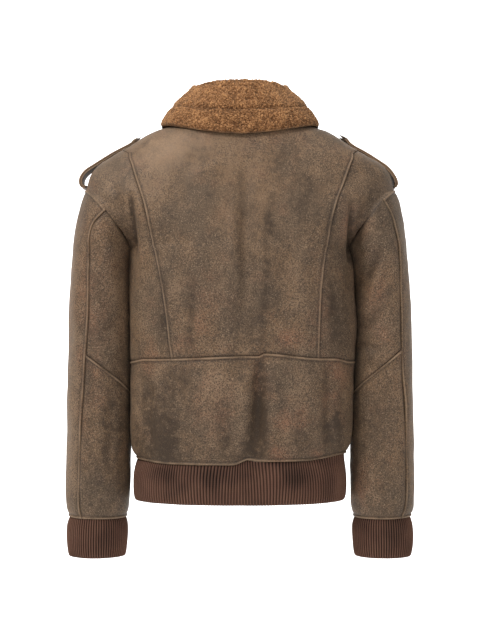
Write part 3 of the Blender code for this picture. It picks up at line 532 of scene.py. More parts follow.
def leather(name):
    """Distressed sheepskin: taupe ground, dark grain, rubbed tan and rust patches, pale raised edges,
    with painted shade in its folds and seams and painted light on its ridges and sleeve edges.
    """
    hide = Finish(name)
    cloud = hide.noise(9.0, 3.0, 0.55)
    patch = hide.noise(26.0, 5.0, 0.6)
    drift = hide.noise(34.0, 3.0, 0.6)
    blotch = hide.noise(90.0, 4.0, 0.65)
    speckle = hide.noise(400.0, 3.0, 0.85)
    pore = hide.noise(520.0, 3.0, 0.7)
    pebble = hide.cells(620.0)
    grained = hide.painted("grained")
    rubbed = hide.painted("rubbed")
    stain_and_shade = hide.painted("stain_and_shade")

    def overlap(mark, within, least):
        """A painted mark, made ragged by a noise."""
        return hide.number("ADD", hide.times(mark, within), hide.times(mark, least), use_clamp=True)

    colour = hide.mix((0.178, 0.106, 0.057, 1), (0.124, 0.081, 0.049, 1), hide.ramp(cloud, 0.38, 0.62))
    for red, green, blue, share in (
            (0.215, 0.112, 0.062, hide.times(hide.ramp(patch, 0.50, 0.74), 0.55)),
            (0.066, 0.042, 0.026, hide.times(hide.ramp(blotch, 0.48, 0.70), 0.55)),
            (0.078, 0.050, 0.032, hide.times(hide.ramp(drift, 0.50, 0.66), grained, 0.60)),
            (0.240, 0.150, 0.088, hide.times(hide.ramp(drift, 0.46, 0.32), grained, 0.45)),
            (0.260, 0.118, 0.064,
             hide.times(overlap(rubbed, hide.ramp(patch, 0.36, 0.60), 0.25), 0.85)),
            # Paler tan: rubbed patches, and painted light on the yoke, the sleeves' edges and the fold
            # ridges
            (0.285, 0.185, 0.112, hide.times(hide.painted("pale_tan_and_light"), 0.62)),
            (0.036, 0.024, 0.016, hide.times(hide.ramp(speckle, 0.56, 0.40), grained, 0.90)),
            (0.400, 0.272, 0.168, hide.times(hide.ramp(pore, 0.53, 0.68), grained, 0.62)),
            # Darkest brown: real stains and painted shade in the folds and beside the armholes
            (0.034, 0.020, 0.011,
             hide.times(overlap(stain_and_shade, hide.ramp(blotch, 0.36, 0.58), 0.45), 0.76)),
            (0.310, 0.205, 0.125, hide.times(hide.painted("worn_edge"), 0.60)),
            # Painted shade in the stitching grooves and under tucked edges
            (0.030, 0.021, 0.016, hide.times(hide.painted("seam_shade"), 0.60))):
        colour = hide.mix(colour, (red, green, blue, 1), share)
    crease = hide.bump(hide.times(speckle, grained), 0.35, 0.0008)
    return hide.shade(Base_Color=colour, Roughness=hide.ramp(speckle, 0.3, 0.7, 0.52, 0.78),
                      Specular_IOR_Level=0.28, Sheen_Weight=0.08, Sheen_Roughness=0.5,
                      Sheen_Tint=(0.8, 0.66, 0.5, 1), Normal=hide.bump(pebble, 0.3, 0.0005, crease))


def shearling_inside(name):
    """The woolly inner face of the hides: short cropped curls, darker than the collar's, with painted
    shade between the curls.
    """
    wool = Finish(name)
    curl = wool.cells(210.0)
    # Painted shade: pale at each curl's middle, dark in the low gaps between curls
    colour = wool.tones(curl, (0.0, (0.27, 0.145, 0.062)), (0.75, (0.07, 0.034, 0.014)))
    return wool.shade(Base_Color=colour, Roughness=0.95,
                      Normal=wool.bump(curl, 1.0, 0.003, invert=True))


LEATHER = leather("distressed_leather")
INSIDE = shearling_inside("shearling_inside")


def yarn_or_wire(name, dark, pale, scale, roughness, metallic=0.0):
    """A finish for thread, tape or metal: two tones worn into each other."""
    worn = Finish(name)
    wear = worn.noise(scale, 4.0)
    worn.shade(Base_Color=worn.tones(wear, (0.36, dark), (0.66, pale)), Metallic=metallic,
               Roughness=worn.ramp(wear, 0.0, 1.0, roughness + 0.12, roughness - 0.12, "LINEAR"),
               Normal=worn.bump(wear, 0.3, 0.0002))
    return worn


THREAD = yarn_or_wire("brown_thread", (0.060, 0.036, 0.022), (0.150, 0.096, 0.060), 900.0, 0.75).material
STITCH_PITCH = 3.4
STITCH_FROM_EDGE = 4.5
HIDE_THICKNESS = 3.0
# How far a panel swells between its seams, and the strip along its top and foot that lies calmer
SWELL = 0.9
CALM_EDGE = 25

# One stitch of thread, 2.6 mm long and 0.7 mm thick
bpy.ops.object.select_all(action="DESELECT")
bpy.ops.mesh.primitive_uv_sphere_add(segments=6, ring_count=4, radius=0.5 * MM,
                                     rotation=(0, math.pi / 2, 0))
bpy.ops.object.transform_apply(location=False, rotation=True, scale=False)
bpy.ops.object.mode_set(mode="EDIT")
bpy.ops.mesh.select_all(action="SELECT")
bpy.ops.transform.resize(value=(2.6, 0.75, 0.6), center_override=(0, 0, 0))
bpy.ops.object.mode_set(mode="OBJECT")
stitch = bpy.context.object
STITCH = (np.array([vertex.co for vertex in stitch.data.vertices]) / MM,
          [list(face.vertices) for face in stitch.data.polygons])
bpy.data.objects.remove(stitch)


def copied(name, pattern, places, alongs, outs):
    """Copy a small shape to many places: its X along, its Z outwards."""
    shape, own_faces = pattern
    alongs = alongs / np.linalg.norm(alongs, axis=1, keepdims=True)
    sides = np.cross(outs, alongs)
    sides /= np.linalg.norm(sides, axis=1, keepdims=True)
    outs = np.cross(alongs, sides)
    verts = (places[:, None] + shape[None, :, :1] * alongs[:, None]
             + shape[None, :, 1:2] * sides[:, None] + shape[None, :, 2:] * outs[:, None])
    faces = [[index + number * len(shape) for index in face]
             for number in range(len(places)) for face in own_faces]
    piece = mesh_piece(name, verts.reshape(-1, 3) * MM, faces)
    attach(piece, "jacket")
    return piece


def sewn(name, lines):
    """Stitches along lines, each line a pair of points and outward normals."""
    spots_on, ways, ups = [], [], []
    for line, normals in lines:
        run = np.concatenate([[0], np.cumsum(np.linalg.norm(np.diff(line, axis=0), axis=1))])
        at = np.arange(STITCH_PITCH, run[-1] - STITCH_PITCH, STITCH_PITCH)
        place = np.array([np.interp(at, run, line[:, axis]) for axis in range(3)]).T
        spots_on.append(place)
        ways.append(np.gradient(place, axis=0))
        ups.append(np.array([np.interp(at, run, normals[:, axis]) for axis in range(3)]).T)
    places, alongs, outs = (np.concatenate(part) for part in (spots_on, ways, ups))
    piece = copied(name, STITCH, places + 0.12 * outs, alongs, outs)
    piece.data.materials.append(THREAD)


def welt_lines(shaped, normals, edges):
    """The lines along which the raised edges of a panel are stitched down."""
    lines = []
    for edge, kind in edges.items():
        if kind != "welt":
            continue
        grid, ups = (shaped, normals) if edge in ("start", "end") else (
            shaped.transpose(1, 0, 2), normals.transpose(1, 0, 2))
        if edge in ("end", "foot"):
            grid, ups = grid[:, ::-1], ups[:, ::-1]
        across = lengths(grid, 1)
        line = np.array([[np.interp(STITCH_FROM_EDGE, run, row[:, axis]) for axis in range(3)]
                         for run, row in zip(across, grid)])
        up = np.array([row[np.searchsorted(run, STITCH_FROM_EDGE)] for run, row in zip(across, ups)])
        ends = slice(7, -7)
        lines.append((line[ends], up[ends]))
    return lines


def leather_panel(node, points, flip, edges, folds, seed):
    """Finish one hide panel over its solid: folds, worked edges, wear, painted shade and light, and its
    cut.
    """
    normals = outward(points, flip)
    lift, light, dark = worked(points, edges)
    down = lengths(points, 0)
    inner_share = np.clip(down / CALM_EDGE, 0, 1) * np.clip((down[-1:] - down) / CALM_EDGE, 0, 1)
    calm = 0.35 + 0.65 * inner_share
    lift = lift + SWELL * calm * wander(points, 95.0, seed) + 0.35 * wander(points, 34.0, seed + 7)
    shaped = points + normals * (lift + folds(points))[..., None]
    piece = cloth_piece(node + "_hide", shaped, normals, HIDE_THICKNESS)
    lines = welt_lines(shaped, outward(shaped, flip), edges)
    if lines:
        sewn(node + "_stitching", lines)
    paint(piece, "worn_edge", light * (0.6 + 0.5 * wander(points, 34.0, seed + 3)).clip(0.1, 1))
    # Painted shade in the stitching grooves and under tucked edges
    paint(piece, "seam_shade", dark)
    paint(piece, "rubbed", spots(points, RUBBED, 11))
    # Painted shade along the folds and painted light along their ridges, on the back only
    behind = np.clip(points[..., 1] / 40, 0, 1)
    uneven = 0.85 + 0.35 * wander(points, 60.0, 41)
    fold_shade_lines = trough(points[..., 0], points[..., 2], FOLD_SHADE) * uneven * behind
    ridge_light_lines = trough(points[..., 0], points[..., 2], RIDGE_LIGHT) * uneven * behind
    # Real stains and the painted fold shade in one layer
    paint(piece, "stain_and_shade", np.maximum(spots(points, STAINS_AND_SHADE, 23), fold_shade_lines.clip(0, 1.6)))
    smoother = spots(points, SMOOTHED, 29)
    paint(piece, "grained", 1.0 - 0.75 * smoother)
    # Tan patches, with painted light on the yoke, the sleeves' edges and the fold ridges
    paint(piece, "pale_tan_and_light", np.maximum(spots(points, PALE_TAN_AND_LIGHT, 37), ridge_light_lines.clip(0, 1)))
    piece.data.materials.append(LEATHER)
    piece.data.materials.append(INSIDE)
    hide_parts(node)
    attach(piece, "jacket")


def eased(value, start, end):
    """0 before the start, 1 after the end, and a smooth climb between."""
    share = np.clip((value - start) / (end - start), 0.0, 1.0)
    return share * share * (3 - 2 * share)


def settled(points):
    """Let the seams sag and step as worn cloth does, and the sides fill out against the sleeves."""
    x, y, z = points[..., 0], points[..., 1], points[..., 2]
    behind = eased(y, -10, 25)
    near_waist = np.exp(-((z + 393) / 18) ** 2)
    near_hem = np.exp(-((z + 572) / 20) ** 2)
    drop = (5.0 * eased(-x, 30, 41) * (1 - eased(-x, 41, 130)) - 1.2 * eased(x, -20, 60)) * near_waist
    drop -= 6.0 * eased(np.abs(x), 158, 181) * near_waist
    step = 3.2 * np.exp(-((x + 13) / 9) ** 2) + 2.6 * eased(-x, -6, 12) - 3.0 * eased(x, -4, 14)
    drop += (step + 3.5 * eased(x, 120, 172) - 5.5 * eased(-x, 120, 160)) * near_hem
    filled = eased(z, -573, -550) * eased(-z, 180, 222)
    side = np.sign(x) * eased(np.abs(x), 100, 150)
    swell = (8.0 + 1.0 * (x < 0)) * np.exp(-((y - 42) / 28) ** 2) * filled * side
    return points + np.stack([swell, np.zeros_like(x), drop * behind], axis=-1)


def back_points(row, share):
    return settled(body_point(row, share, True))


def front_points(row, share):
    return settled(body_point(row, share, False))


def eased_over(points, to_armhole):
    """Smooth the turn of the shoulder into the armhole and round off the swell beside it."""
    eased_points = points.copy()
    for _ in range(40):
        share = 0.5 * np.exp(-((eased_points[1:-1, :, 2] + 116) / 24) ** 2)
        share = (share * np.clip(to_armhole[1:-1] / 14, 0, 1))[..., None]
        eased_points[1:-1] += share * ((eased_points[:-2] + eased_points[2:]) / 2 - eased_points[1:-1])
    near = to_armhole / 18
    low = eased(-points[..., 2], 112, 150) * eased(points[..., 2], -290, -225)
    eased_points[..., 1] -= np.sign(points[..., 1]) * 7.0 * near * np.exp(1 - near) * low
    return eased_points


BACK_PITCH = 4.0
FRONT_PITCH = 4.2
# The centre back keeps away from both armholes
CLEAR_OF_ARMHOLE = 200.0
SIDES = ((1, "left"), (-1, "right"))
SMALL_BACK_FOLDS = (
    (206, -114, 176, -214, 8, -3.2), (166, -136, 163, -240, 6, 2.2),
    (-226, -116, -192, -190, 9, -3.4), (180, -122, 174, -228, 5, -6.5),
    (-184, -136, -184, -238, 5, -7.0), (-198, -180, -187, -206, 6, -3.0),
    (-174, -146, -173, -240, 6, 2.4), (-196, -80, -176, -120, 12, -2.17),
    (-8, -66, -10, -200, 9, -2.61), (-10, -150, -14, -385, 11, -4.93),
    (8, -120, 10, -385, 9, 2.61), (-34, -130, -36, -385, 10, 2.03), (26, -250, 34, -390, 8, -2.03),
    (62, -190, 70, -392, 15, 2.61), (92, -210, 96, -385, 11, -2.61),
    (118, -240, 116, -388, 9, 2.03), (-70, -230, -62, -390, 11, -2.46),
    (-98, -210, -92, -385, 13, 2.46), (-128, -240, -122, -388, 8, -1.74),
    (112, -176, 78, -250, 9, -2.17), (-108, -180, -80, -262, 9, -2.17),
    (-12, -60, -60, -90, 10, -1.45), (20, -70, 90, -110, 12, 1.74),
    (-34, -396, -26, -572, 9.5, -11.55), (-12, -398, 0, -564, 10, 3.74),
    (-62, -400, -52, -564, 12, 3.74), (-100, -410, -100, -556, 9, -1.98),
    (22, -408, 22, -560, 9, -2.42), (54, -402, 60, -560, 15, 3.3),
    (98, -404, 108, -562, 12, -3.96), (134, -410, 134, -550, 10, 2.42),
    (152, -404, 148, -562, 7, -2.64), (-122, -404, -120, -560, 13, 2.86),
    (-148, -404, -146, -562, 9, -3.52), (-168, -410, -164, -540, 6, 1.32),
    (100, -520, 40, -560, 8, -1.54), (-60, -530, -130, -560, 8, -1.32),
    (-20, -410, 24, -440, 7, -1.54), (166, -230, 171, -330, 8, 2.03),
)


def from_end(points):
    """How far each point lies from the end of its row, at the armhole."""
    across = lengths(points, 1)
    return across[:, -1:] - across


def small_back_folds(points):
    deep = np.clip(points[..., 1] / 60.0, 0, 1)
    return trough(points[..., 0], points[..., 2], SMALL_BACK_FOLDS) * deep


points = lattice(back_points, 0, WAIST_ROW, lambda r: -princess_share(r, -1),
                 lambda r: princess_share(r, 1), BACK_PITCH)
points = eased_over(points, np.full(points.shape[:2], CLEAR_OF_ARMHOLE))
leather_panel("back_centre", points, False,
              {"top": "plain", "foot": "tuck", "start": "welt", "end": "welt"}, small_back_folds, seed=31)
for side, word in SIDES:
    points = lattice(back_points, PRINCESS_TOP_ROW, WAIST_ROW, lambda r: side * princess_share(r, side),
                     lambda r: side * np.ones_like(r), BACK_PITCH)
    points = eased_over(points, from_end(points))
    leather_panel("back_side_" + word, points, side < 0,
                  {"foot": "tuck", "start": "tuck", "end": "plain"}, small_back_folds, seed=41 + side)
points = lattice(back_points, WAIST_ROW, HEM_ROW, lambda r: -np.ones_like(r), np.ones_like, BACK_PITCH)
leather_panel("back_lower", points, False,
              {"top": "welt", "foot": "welt", "start": "plain", "end": "plain"},
              small_back_folds, seed=53)

FRONT_FOLDS = (
    (60, -140, 90, -260, 16, -2.0), (-66, -150, -88, -270, 15, -2.0),
    (120, -250, 90, -360, 18, 1.8), (-124, -240, -96, -350, 18, 1.6),
    (100, -380, 70, -520, 15, -2.2), (-90, -390, -76, -540, 15, -2.0),
    (36, -300, 40, -480, 10, 1.2), (-34, -280, -40, -450, 10, 1.2),
    (150, -420, 140, -560, 14, -1.6), (-150, -400, -144, -560, 14, -1.6),
)


def front_folds(points):
    deep = np.clip(-points[..., 1] / 60.0, 0, 1)
    return trough(points[..., 0], points[..., 2], FRONT_FOLDS) * deep


for side, word in SIDES:
    points = lattice(front_points, 0, HEM_ROW, lambda r: side * np.ones_like(r),
                     lambda r: side * share_at(r, FRONT_EDGE, False, side), FRONT_PITCH)
    points = eased_over(points[:, ::-1], from_end(points[:, ::-1]))[:, ::-1]
    leather_panel("front_" + word, points, side < 0,
                  {"top": "plain", "foot": "welt", "start": "tuck", "end": "welt"},
                  front_folds, seed=61 + side)

# ---------------------------------------------------------------------------------------------
# Hem rib: one knitted wool band from the zip round the back to the zip, folded at its foot, with
# deep ribs about 5 mm apart.  It is sewn under the edge of the hides above.
# ---------------------------------------------------------------------------------------------
# Share of the way across one rib, and height there
RIB_PROFILE = ((0.0, -2.0), (0.13, -1.2), (0.28, 0.15), (0.5, 0.65), (0.72, 0.15), (0.87, -1.2))
KNIT_THICKNESS = 2.6
# Share of the ribs' relief that the inner wall doesn't follow, and the height of one knitted course
WALL_RELIEF = 0.35
COURSE_HEIGHT = 3.4
# Share of the way down the band, and how far the band swells there
RIB_ROWS = (0.0, 0.02, 0.05, 0.11, 0.2, 0.3, 0.4, 0.5, 0.6, 0.7, 0.8, 0.88, 0.94, 0.975, 1.0)
RIB_ROLL = (-2.4, -1.6, -0.7, 0.1, 0.3, 0.3, 0.2, 0.2, 0.2, 0.2, 0.2, 0.1, -0.3, -0.9, -1.9)
# Darker places painted on the band, placed as the marks on the leather are: painted shadow along its top
# under the hem's edge, and darker smudges
RIB_SHADES = ((1, 130, -590, 26, 18, 0.6), (1, 40, -588, 44, 18, 0.65), (1, -100, -592, 36, 20, 0.6),
              (1, 0, -566, 200, 9, 0.6), (1, 225, -700, 16, 30, 0.5), (1, -262, -690, 20, 30, 0.6),
              (-1, 80, -600, 40, 20, 0.6), (-1, -90, -590, 40, 20, 0.6))


def knit(name):
    """Chocolate wool rib: painted shade in the grooves and under the hem, with small V-shaped stitches up
    each rib.
    """
    wool = Finish(name)
    courses = wool.node("UVMap", "UV", uv_map="courses")
    along_rib = wool.node("SeparateXYZ", "Y", {"Vector": courses})
    across_rib = wool.node("SeparateXYZ", "X", {"Vector": courses})
    slant = wool.times(wool.number("PINGPONG", across_rib, 0.5), 1.1)
    stitch = wool.number("PINGPONG", wool.number("ADD", along_rib, slant), 0.5)
    fuzz = wool.noise(700.0, 3.0)
    cloud = wool.noise(22.0, 3.0)
    uneven = wool.number("ADD", wool.times(fuzz, 0.5), wool.times(cloud, 0.5))
    yarn = wool.tones(uneven, (0.25, (0.104, 0.047, 0.031)), (0.75, (0.192, 0.097, 0.063)))
    return wool.shade(Base_Color=wool.mix(yarn, (0.012, 0.006, 0.004, 1), wool.painted("painted_rib_shade")),
                      Roughness=0.92, Specular_IOR_Level=0.2, Sheen_Weight=0.25,
                      Sheen_Tint=(0.6, 0.42, 0.33, 1),
                      Normal=wool.bump(fuzz, 0.35, 0.0005, wool.bump(stitch, 0.7, 0.0007)))


KNIT = knit("chocolate_rib")


def ribbed(node, smooth, flip, pitch, around, depth, lean=0.0):
    """Lay ribs along a smooth band whose rows run down it and whose columns run along it."""
    shares = np.array(RIB_ROWS)
    middle = smooth[len(smooth) // 2]
    loop = np.concatenate([middle, middle[:1]]) if around else middle
    run = lengths(loop[None], 1)[0]
    count = int(round(run[-1] / pitch))
    places = np.array([rib + share for rib in range(count) for share, _ in RIB_PROFILE])
    heights = np.array([height for _ in range(count) for _, height in RIB_PROFILE])
    if not around:
        places = np.append(places, float(count))
        heights = np.append(heights, RIB_PROFILE[0][1])
    down = np.interp(shares, np.linspace(0, 1, len(smooth)), np.arange(len(smooth)))
    columns = np.concatenate([smooth, smooth[:, :1]], axis=1) if around else smooth
    rib_at = places / count * run[-1]
    puckered = (lean * np.sin(rib_at / 23.0 + 1.3 * np.sin(rib_at / 71.0))
                * np.sin(math.pi * rib_at / run[-1]))
    band = np.array([along(line, np.interp(rib_at + puckered * (1 - share) ** 1.5,
                                           run, np.arange(len(run))))
                     for line, share in zip(along(columns, down), shares)])
    normals = outward(band, flip)
    fade = np.clip(shares[:, None] / 0.05, 0.5, 1.0)
    soft = 0.8 * wander(band, 70.0, 5) * np.clip(shares[:, None] * 3, 0, 1)
    relief = heights[None] * fade
    lift = relief + np.array(RIB_ROLL)[:, None] + soft
    shaped = band + normals * lift[..., None]
    wall = (shaped - band) + normals * KNIT_THICKNESS - normals * relief[..., None] * WALL_RELIEF
    piece = cloth_piece(node + "_knit", shaped, normals, KNIT_THICKNESS, wall, around, 3)
    # Painted shade: darker down in the grooves between ribs, as dark as depth sets, plus the band's
    # painted shadow
    groove_shade = np.interp(heights, (-2.0, -1.2, 0.15, 0.65), (depth, 0.85 * depth, 0.2, 0.0))
    shaded = 0.55 * spots(band, RIB_SHADES, 47) + 0.22 * wander(band, 60.0, 43).clip(0, 1)
    paint(piece, "painted_rib_shade", np.clip(groove_shade + shaded, 0, 1))
    flat = piece.data.uv_layers.new(name="courses")
    course = shares * (lengths(band, 0)[-1].mean() / COURSE_HEIGHT)
    u = np.tile(places + 0.5, (len(shares), 1)).reshape(-1)
    v = np.repeat(course, len(places))
    corner = np.zeros(len(piece.data.loops), np.int32)
    piece.data.loops.foreach_get("vertex_index", corner)
    corner = np.append(np.arange(len(u)), BEHIND[piece.name])[corner]
    flat.data.foreach_set("uv", np.stack([u[corner], v[corner]], -1).astype(np.float32).reshape(-1))
    piece.data.materials.append(KNIT)
    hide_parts(node)
    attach(piece, "jacket")


band_rows = np.linspace(HEM_ROW, RIB_FOOT_ROW, 13)[:, None]
front_shares = np.linspace(0.0, 1.0, 60)
right_front = share_at(band_rows, FRONT_EDGE, False, -1)
left_front = share_at(band_rows, FRONT_EDGE, False, 1)
smooth = np.concatenate([
    front_points(band_rows, -(right_front + (1 - right_front) * front_shares[:-1])),
    back_points(band_rows, np.linspace(-1.0, 1.0, 160)),
    front_points(band_rows, left_front + (1 - left_front) * front_shares[::-1][1:]),
], axis=1)
ribbed("hem_rib", smooth, False, 5.0, False, 0.72, 4.0)

# ---------------------------------------------------------------------------------------------
# Sleeves: an outer hide that runs from the shoulder to the cuff and wraps the outer edge, an
# under hide to the elbow and a lower hide below the slanting elbow seam.
# ---------------------------------------------------------------------------------------------
# outer_x, outer_z, inner_left, inner_right, inner_z, half_depth
SLEEVE_ROWS = (
    (*SHOULDER, UNDERARM[0], UNDERARM[0], UNDERARM[1], ARMHOLE_HALF_DEPTH),
    (273, -134, 184, 187, -231, 94),
    (279.5, -165, 184.5, 189.5, -246, 92.7),
    (284.5, -198, 184, 192, -259, 90.4),
    (288, -234, 184, 193, -276, 89.1),
    (290.5, -272, 184, 193.5, -298, 86.1),
    (292.5, -308, 184, 194, -324, 84.1),
    (293.5, -342, 184, 194, -352, 82.1),
    (294.5, -374, 184, 193.5, -380, 80.1),
    (295.5, -405, 184, 193, -409, 78.1),
    (296.5, -437, 184.5, 192.5, -440, 76.1),
    (297.5, -469, 184.5, 191.5, -471, 74.1),
    (298, -501, 185, 190.5, -503, 72.1),
    (298, -535, 186, 190, -536, 70.1),
    (298, -569, 187.5, 190, -570, 68.1),
    (298.5, -601, 188.5, 190.5, -602, 65.25),
    (299, -631, 189.5, 191, -632, 61.55),
    (298, -654, 191, 192, -655, 55),
    (293, -670, 195, 196, -671, 48),
    (296, -688, 193, 194, -688, 47),
    (296.5, -712, 193.5, 194.5, -712, 45.5),
    (294, -738, 196, 197, -738, 43),
)
OUTER_X, OUTER_Z, INNER_LEFT, INNER_RIGHT, INNER_Z, HALF_DEPTH = np.array(SLEEVE_ROWS, float).T
WRIST_ROW = 18
CUFF_FOOT_ROW = 21
ELBOW_ROW = 9
ELBOW_START_ANGLE = 50.0
ELBOW_START = 8.1
ELBOW_DROP = 3.7
FRONT_SEAM_ANGLE = 222.0
FRONT_SEAM_AT_ARMHOLE = 225.0
FRONT_SEAM_LEAN_ROWS = 3.0
ARMHOLE_BULGE_ROWS = 3.0
SLEEVE_PITCH = 4.0
FOLDS_DEEPENED = 1.7
BACK_SEAM_ANGLES = {
    1: (90, 70, 72, 73, 72, 69, 65, 62, 61, 61, 58, 57),
    -1: (67.5, 58, 55, 58, 58, 57, 52, 48, 49, 54, 56, 56),
}


def sleeve_point(row, angle, side):
    """Points of a sleeve; the angle runs from the outer edge round the back to the front."""
    row, angle = np.broadcast_arrays(np.asarray(row, float), np.asarray(angle, float))
    turn = (angle - ELBOW_START_ANGLE) % 360.0
    reach = FRONT_SEAM_ANGLE - ELBOW_START_ANGLE
    rise = np.where(turn < reach, turn / reach, 1 - (turn - reach) / (360.0 - reach))
    elbow = ELBOW_START + ELBOW_DROP * rise
    place = np.where(row <= ELBOW_ROW, elbow * row / ELBOW_ROW,
                     elbow + (WRIST_ROW - elbow) * (row - ELBOW_ROW) / (WRIST_ROW - ELBOW_ROW))
    place = np.where(row > WRIST_ROW, row, place)
    outer_x = along(OUTER_X, place)
    outer_z = along(OUTER_Z, place)
    inner_x = along(INNER_LEFT if side > 0 else INNER_RIGHT, place)
    inner_z = along(INNER_Z, place)
    turn = np.radians(angle)
    x = (outer_x + inner_x) / 2 + (outer_x - inner_x) / 2 * np.cos(turn)
    z = (outer_z + inner_z) / 2 + (outer_z - inner_z) / 2 * np.cos(turn)
    z += ARMHOLE_BULGE * (np.sin(turn) * np.maximum(1 - place / ARMHOLE_BULGE_ROWS, 0.0)) ** 2
    return np.stack([side * x, along(HALF_DEPTH, place) * np.sin(turn), z], axis=-1)


def sleeve_seams(side):
    """Angles of the back and front long seams at a row."""
    def back_seam(row):
        return along(BACK_SEAM_ANGLES[side], np.asarray(row) / 2)

    def front_seam(row):
        lean = np.clip(np.asarray(row) / FRONT_SEAM_LEAN_ROWS, 0.0, 1.0)
        return FRONT_SEAM_AT_ARMHOLE + (FRONT_SEAM_ANGLE - FRONT_SEAM_AT_ARMHOLE) * lean
    return back_seam, front_seam


# x, z at each end, half width, depth; on the back of the wearer's left and right sleeve, then
# on the front of both
SLEEVE_FOLDS = {
    (1, 1): (
        (248, -205, 215, -330, 16, -2.6), (262, -250, 236, -420, 14, -1.8),
        (200, -340, 226, -352, 6, -2.2), (206, -380, 236, -360, 9, -2.0),
        (210, -440, 222, -600, 12, -2.2), (246, -420, 252, -600, 13, -1.8),
        (236, -170, 210, -230, 10, 2.4), (276, -240, 272, -420, 8, 1.2),
        (262, -628, 215, -646, 8, -2.2), (225, -600, 240, -655, 7, 1.6),
    ),
    (-1, 1): (
        (-250, -170, -200, -300, 13, -3.4), (-258, -215, -212, -350, 12, -2.8),
        (-232, -160, -200, -215, 9, 2.6), (-198, -372, -232, -385, 6, -2.4),
        (-228, -400, -222, -590, 13, -2.2), (-258, -380, -252, -600, 13, -1.8),
        (-240, -240, -206, -330, 9, 2.2), (-262, -640, -216, -628, 8, -2.2),
        (-245, -590, -236, -650, 7, 1.6),
    ),
    (1, -1): (
        (246, -190, 214, -310, 15, -2.4), (256, -240, 226, -380, 13, -2.0),
        (204, -360, 244, -384, 9, -2.6), (206, -400, 250, -396, 9, 2.0),
        (214, -440, 226, -600, 13, -2.0), (250, -420, 250, -600, 13, -1.6),
    ),
    (-1, -1): (
        (-246, -190, -214, -310, 15, -2.4), (-256, -250, -222, -390, 13, -2.2),
        (-204, -350, -244, -378, 9, -2.6), (-206, -396, -250, -390, 9, 2.0),
        (-218, -440, -224, -600, 13, -2.0), (-250, -400, -254, -600, 13, -1.6),
    ),
}


def sleeve_folds(side):
    def height(points):
        total = np.zeros(points.shape[:-1])
        for facing in (1, -1):
            deep = np.clip(points[..., 1] * facing / 40.0, 0, 1)
            folds = trough(points[..., 0], points[..., 2], SLEEVE_FOLDS[side, facing])
            total += FOLDS_DEEPENED * folds * deep
        return total
    return height


for side, word in SIDES:
    back_seam, front_seam = sleeve_seams(side)

    def own_points(row, angle):
        return sleeve_point(row, angle, side)

    for part, first, last, start, end, level, seams, seed in (
            ("top", 0, WRIST_ROW, front_seam, lambda r: back_seam(r) + 360.0, "welt", "welt", 71),
            ("under", 0, ELBOW_ROW, back_seam, front_seam, "tuck", "tuck", 81),
            ("elbow", ELBOW_ROW, WRIST_ROW, back_seam, front_seam, "welt", "tuck", 91)):
        points = lattice(own_points, first, last, start, end, SLEEVE_PITCH)
        leather_panel("sleeve_" + part + "_" + word, points, side > 0,
                      {"top": level, "foot": level, "start": seams, "end": seams},
                      sleeve_folds(side), seed=seed + side)

# ---------------------------------------------------------------------------------------------
# Cuffs: short knitted tubes of the same wool, with ribs a little closer than the hem's, sewn
# under the end of each sleeve.
# ---------------------------------------------------------------------------------------------
for side, word in SIDES:
    rows = np.linspace(WRIST_ROW, CUFF_FOOT_ROW, 13)[:, None]
    smooth = sleeve_point(rows + 1e-6, np.linspace(0, 360, 121)[:-1], side)
    ribbed("cuff_" + word, smooth, side > 0, 4.4, True, 0.95)

# ---------------------------------------------------------------------------------------------
# Collar: thick curly sheepskin, fleece outwards.  A one-piece band stands up round the neck and
# rolls over; below a seam across it two falls, joined at the centre back, lie on the shoulders.
# ---------------------------------------------------------------------------------------------
NECK_GAP = 0.9
ROLL_RADIUS = 10.0
STAND_INSET = 5.0
LEAF_LIFT = 10.0
FALL_SEAM_SHARE = 0.52
COLLAR_END_SHARE = 0.4
LEAF_BULGE = 4.0
FLEECE = 7.0
# How far to either side a slope of the body is measured
ROW_STEP = 0.1
SHARE_STEP = 0.02
NECK_BACK_COLUMNS = 5
NECK_FRONT_COLUMNS = 7
# rise, lean, upright, edge_turn, edge_row for each second column from the centre back
COLLAR_ROWS = (
    (61, 6, 1.0, 0.00, 2.95),
    (62, 6, 1.0, 0.36, 2.80),
    (66, 7, 1.0, 0.76, 2.25),
    (66, 7, 1.0, 1.12, 2.05),
    (52, 5, 0.9, 1.36, 2.55),
    (30, 1, 0.5, 1.58, 3.70),
    (15, -3.5, 0.0, 1.74, 5.00),
)
RISE, LEAN, UPRIGHT, EDGE_TURN, EDGE_ROW = np.array(COLLAR_ROWS, float).T


def body_normal(row, share, back):
    """Outward normal of the body at one place; on the shoulder line the mean of both sides."""
    over = (body_point(min(row + ROW_STEP, RIB_FOOT_ROW), share, back)
            - body_point(max(row - ROW_STEP, 0), share, back))
    across = (body_point(row, min(share + SHARE_STEP, 1), back)
              - body_point(row, max(share - SHARE_STEP, -1), back))
    normal = np.cross(over, across)
    normal /= np.linalg.norm(normal)
    point = body_point(row, share, back)
    if abs(share) <= 0.98 and normal[1] * (1 if back else -1) <= 0:
        normal = -normal
    if normal @ np.array([point[0], point[1], 40.0]) < 0:
        normal = -normal
    if abs(share) > 0.999:
        normal = normal + normal * np.array([1, -1, 1])
    return normal / np.linalg.norm(normal)


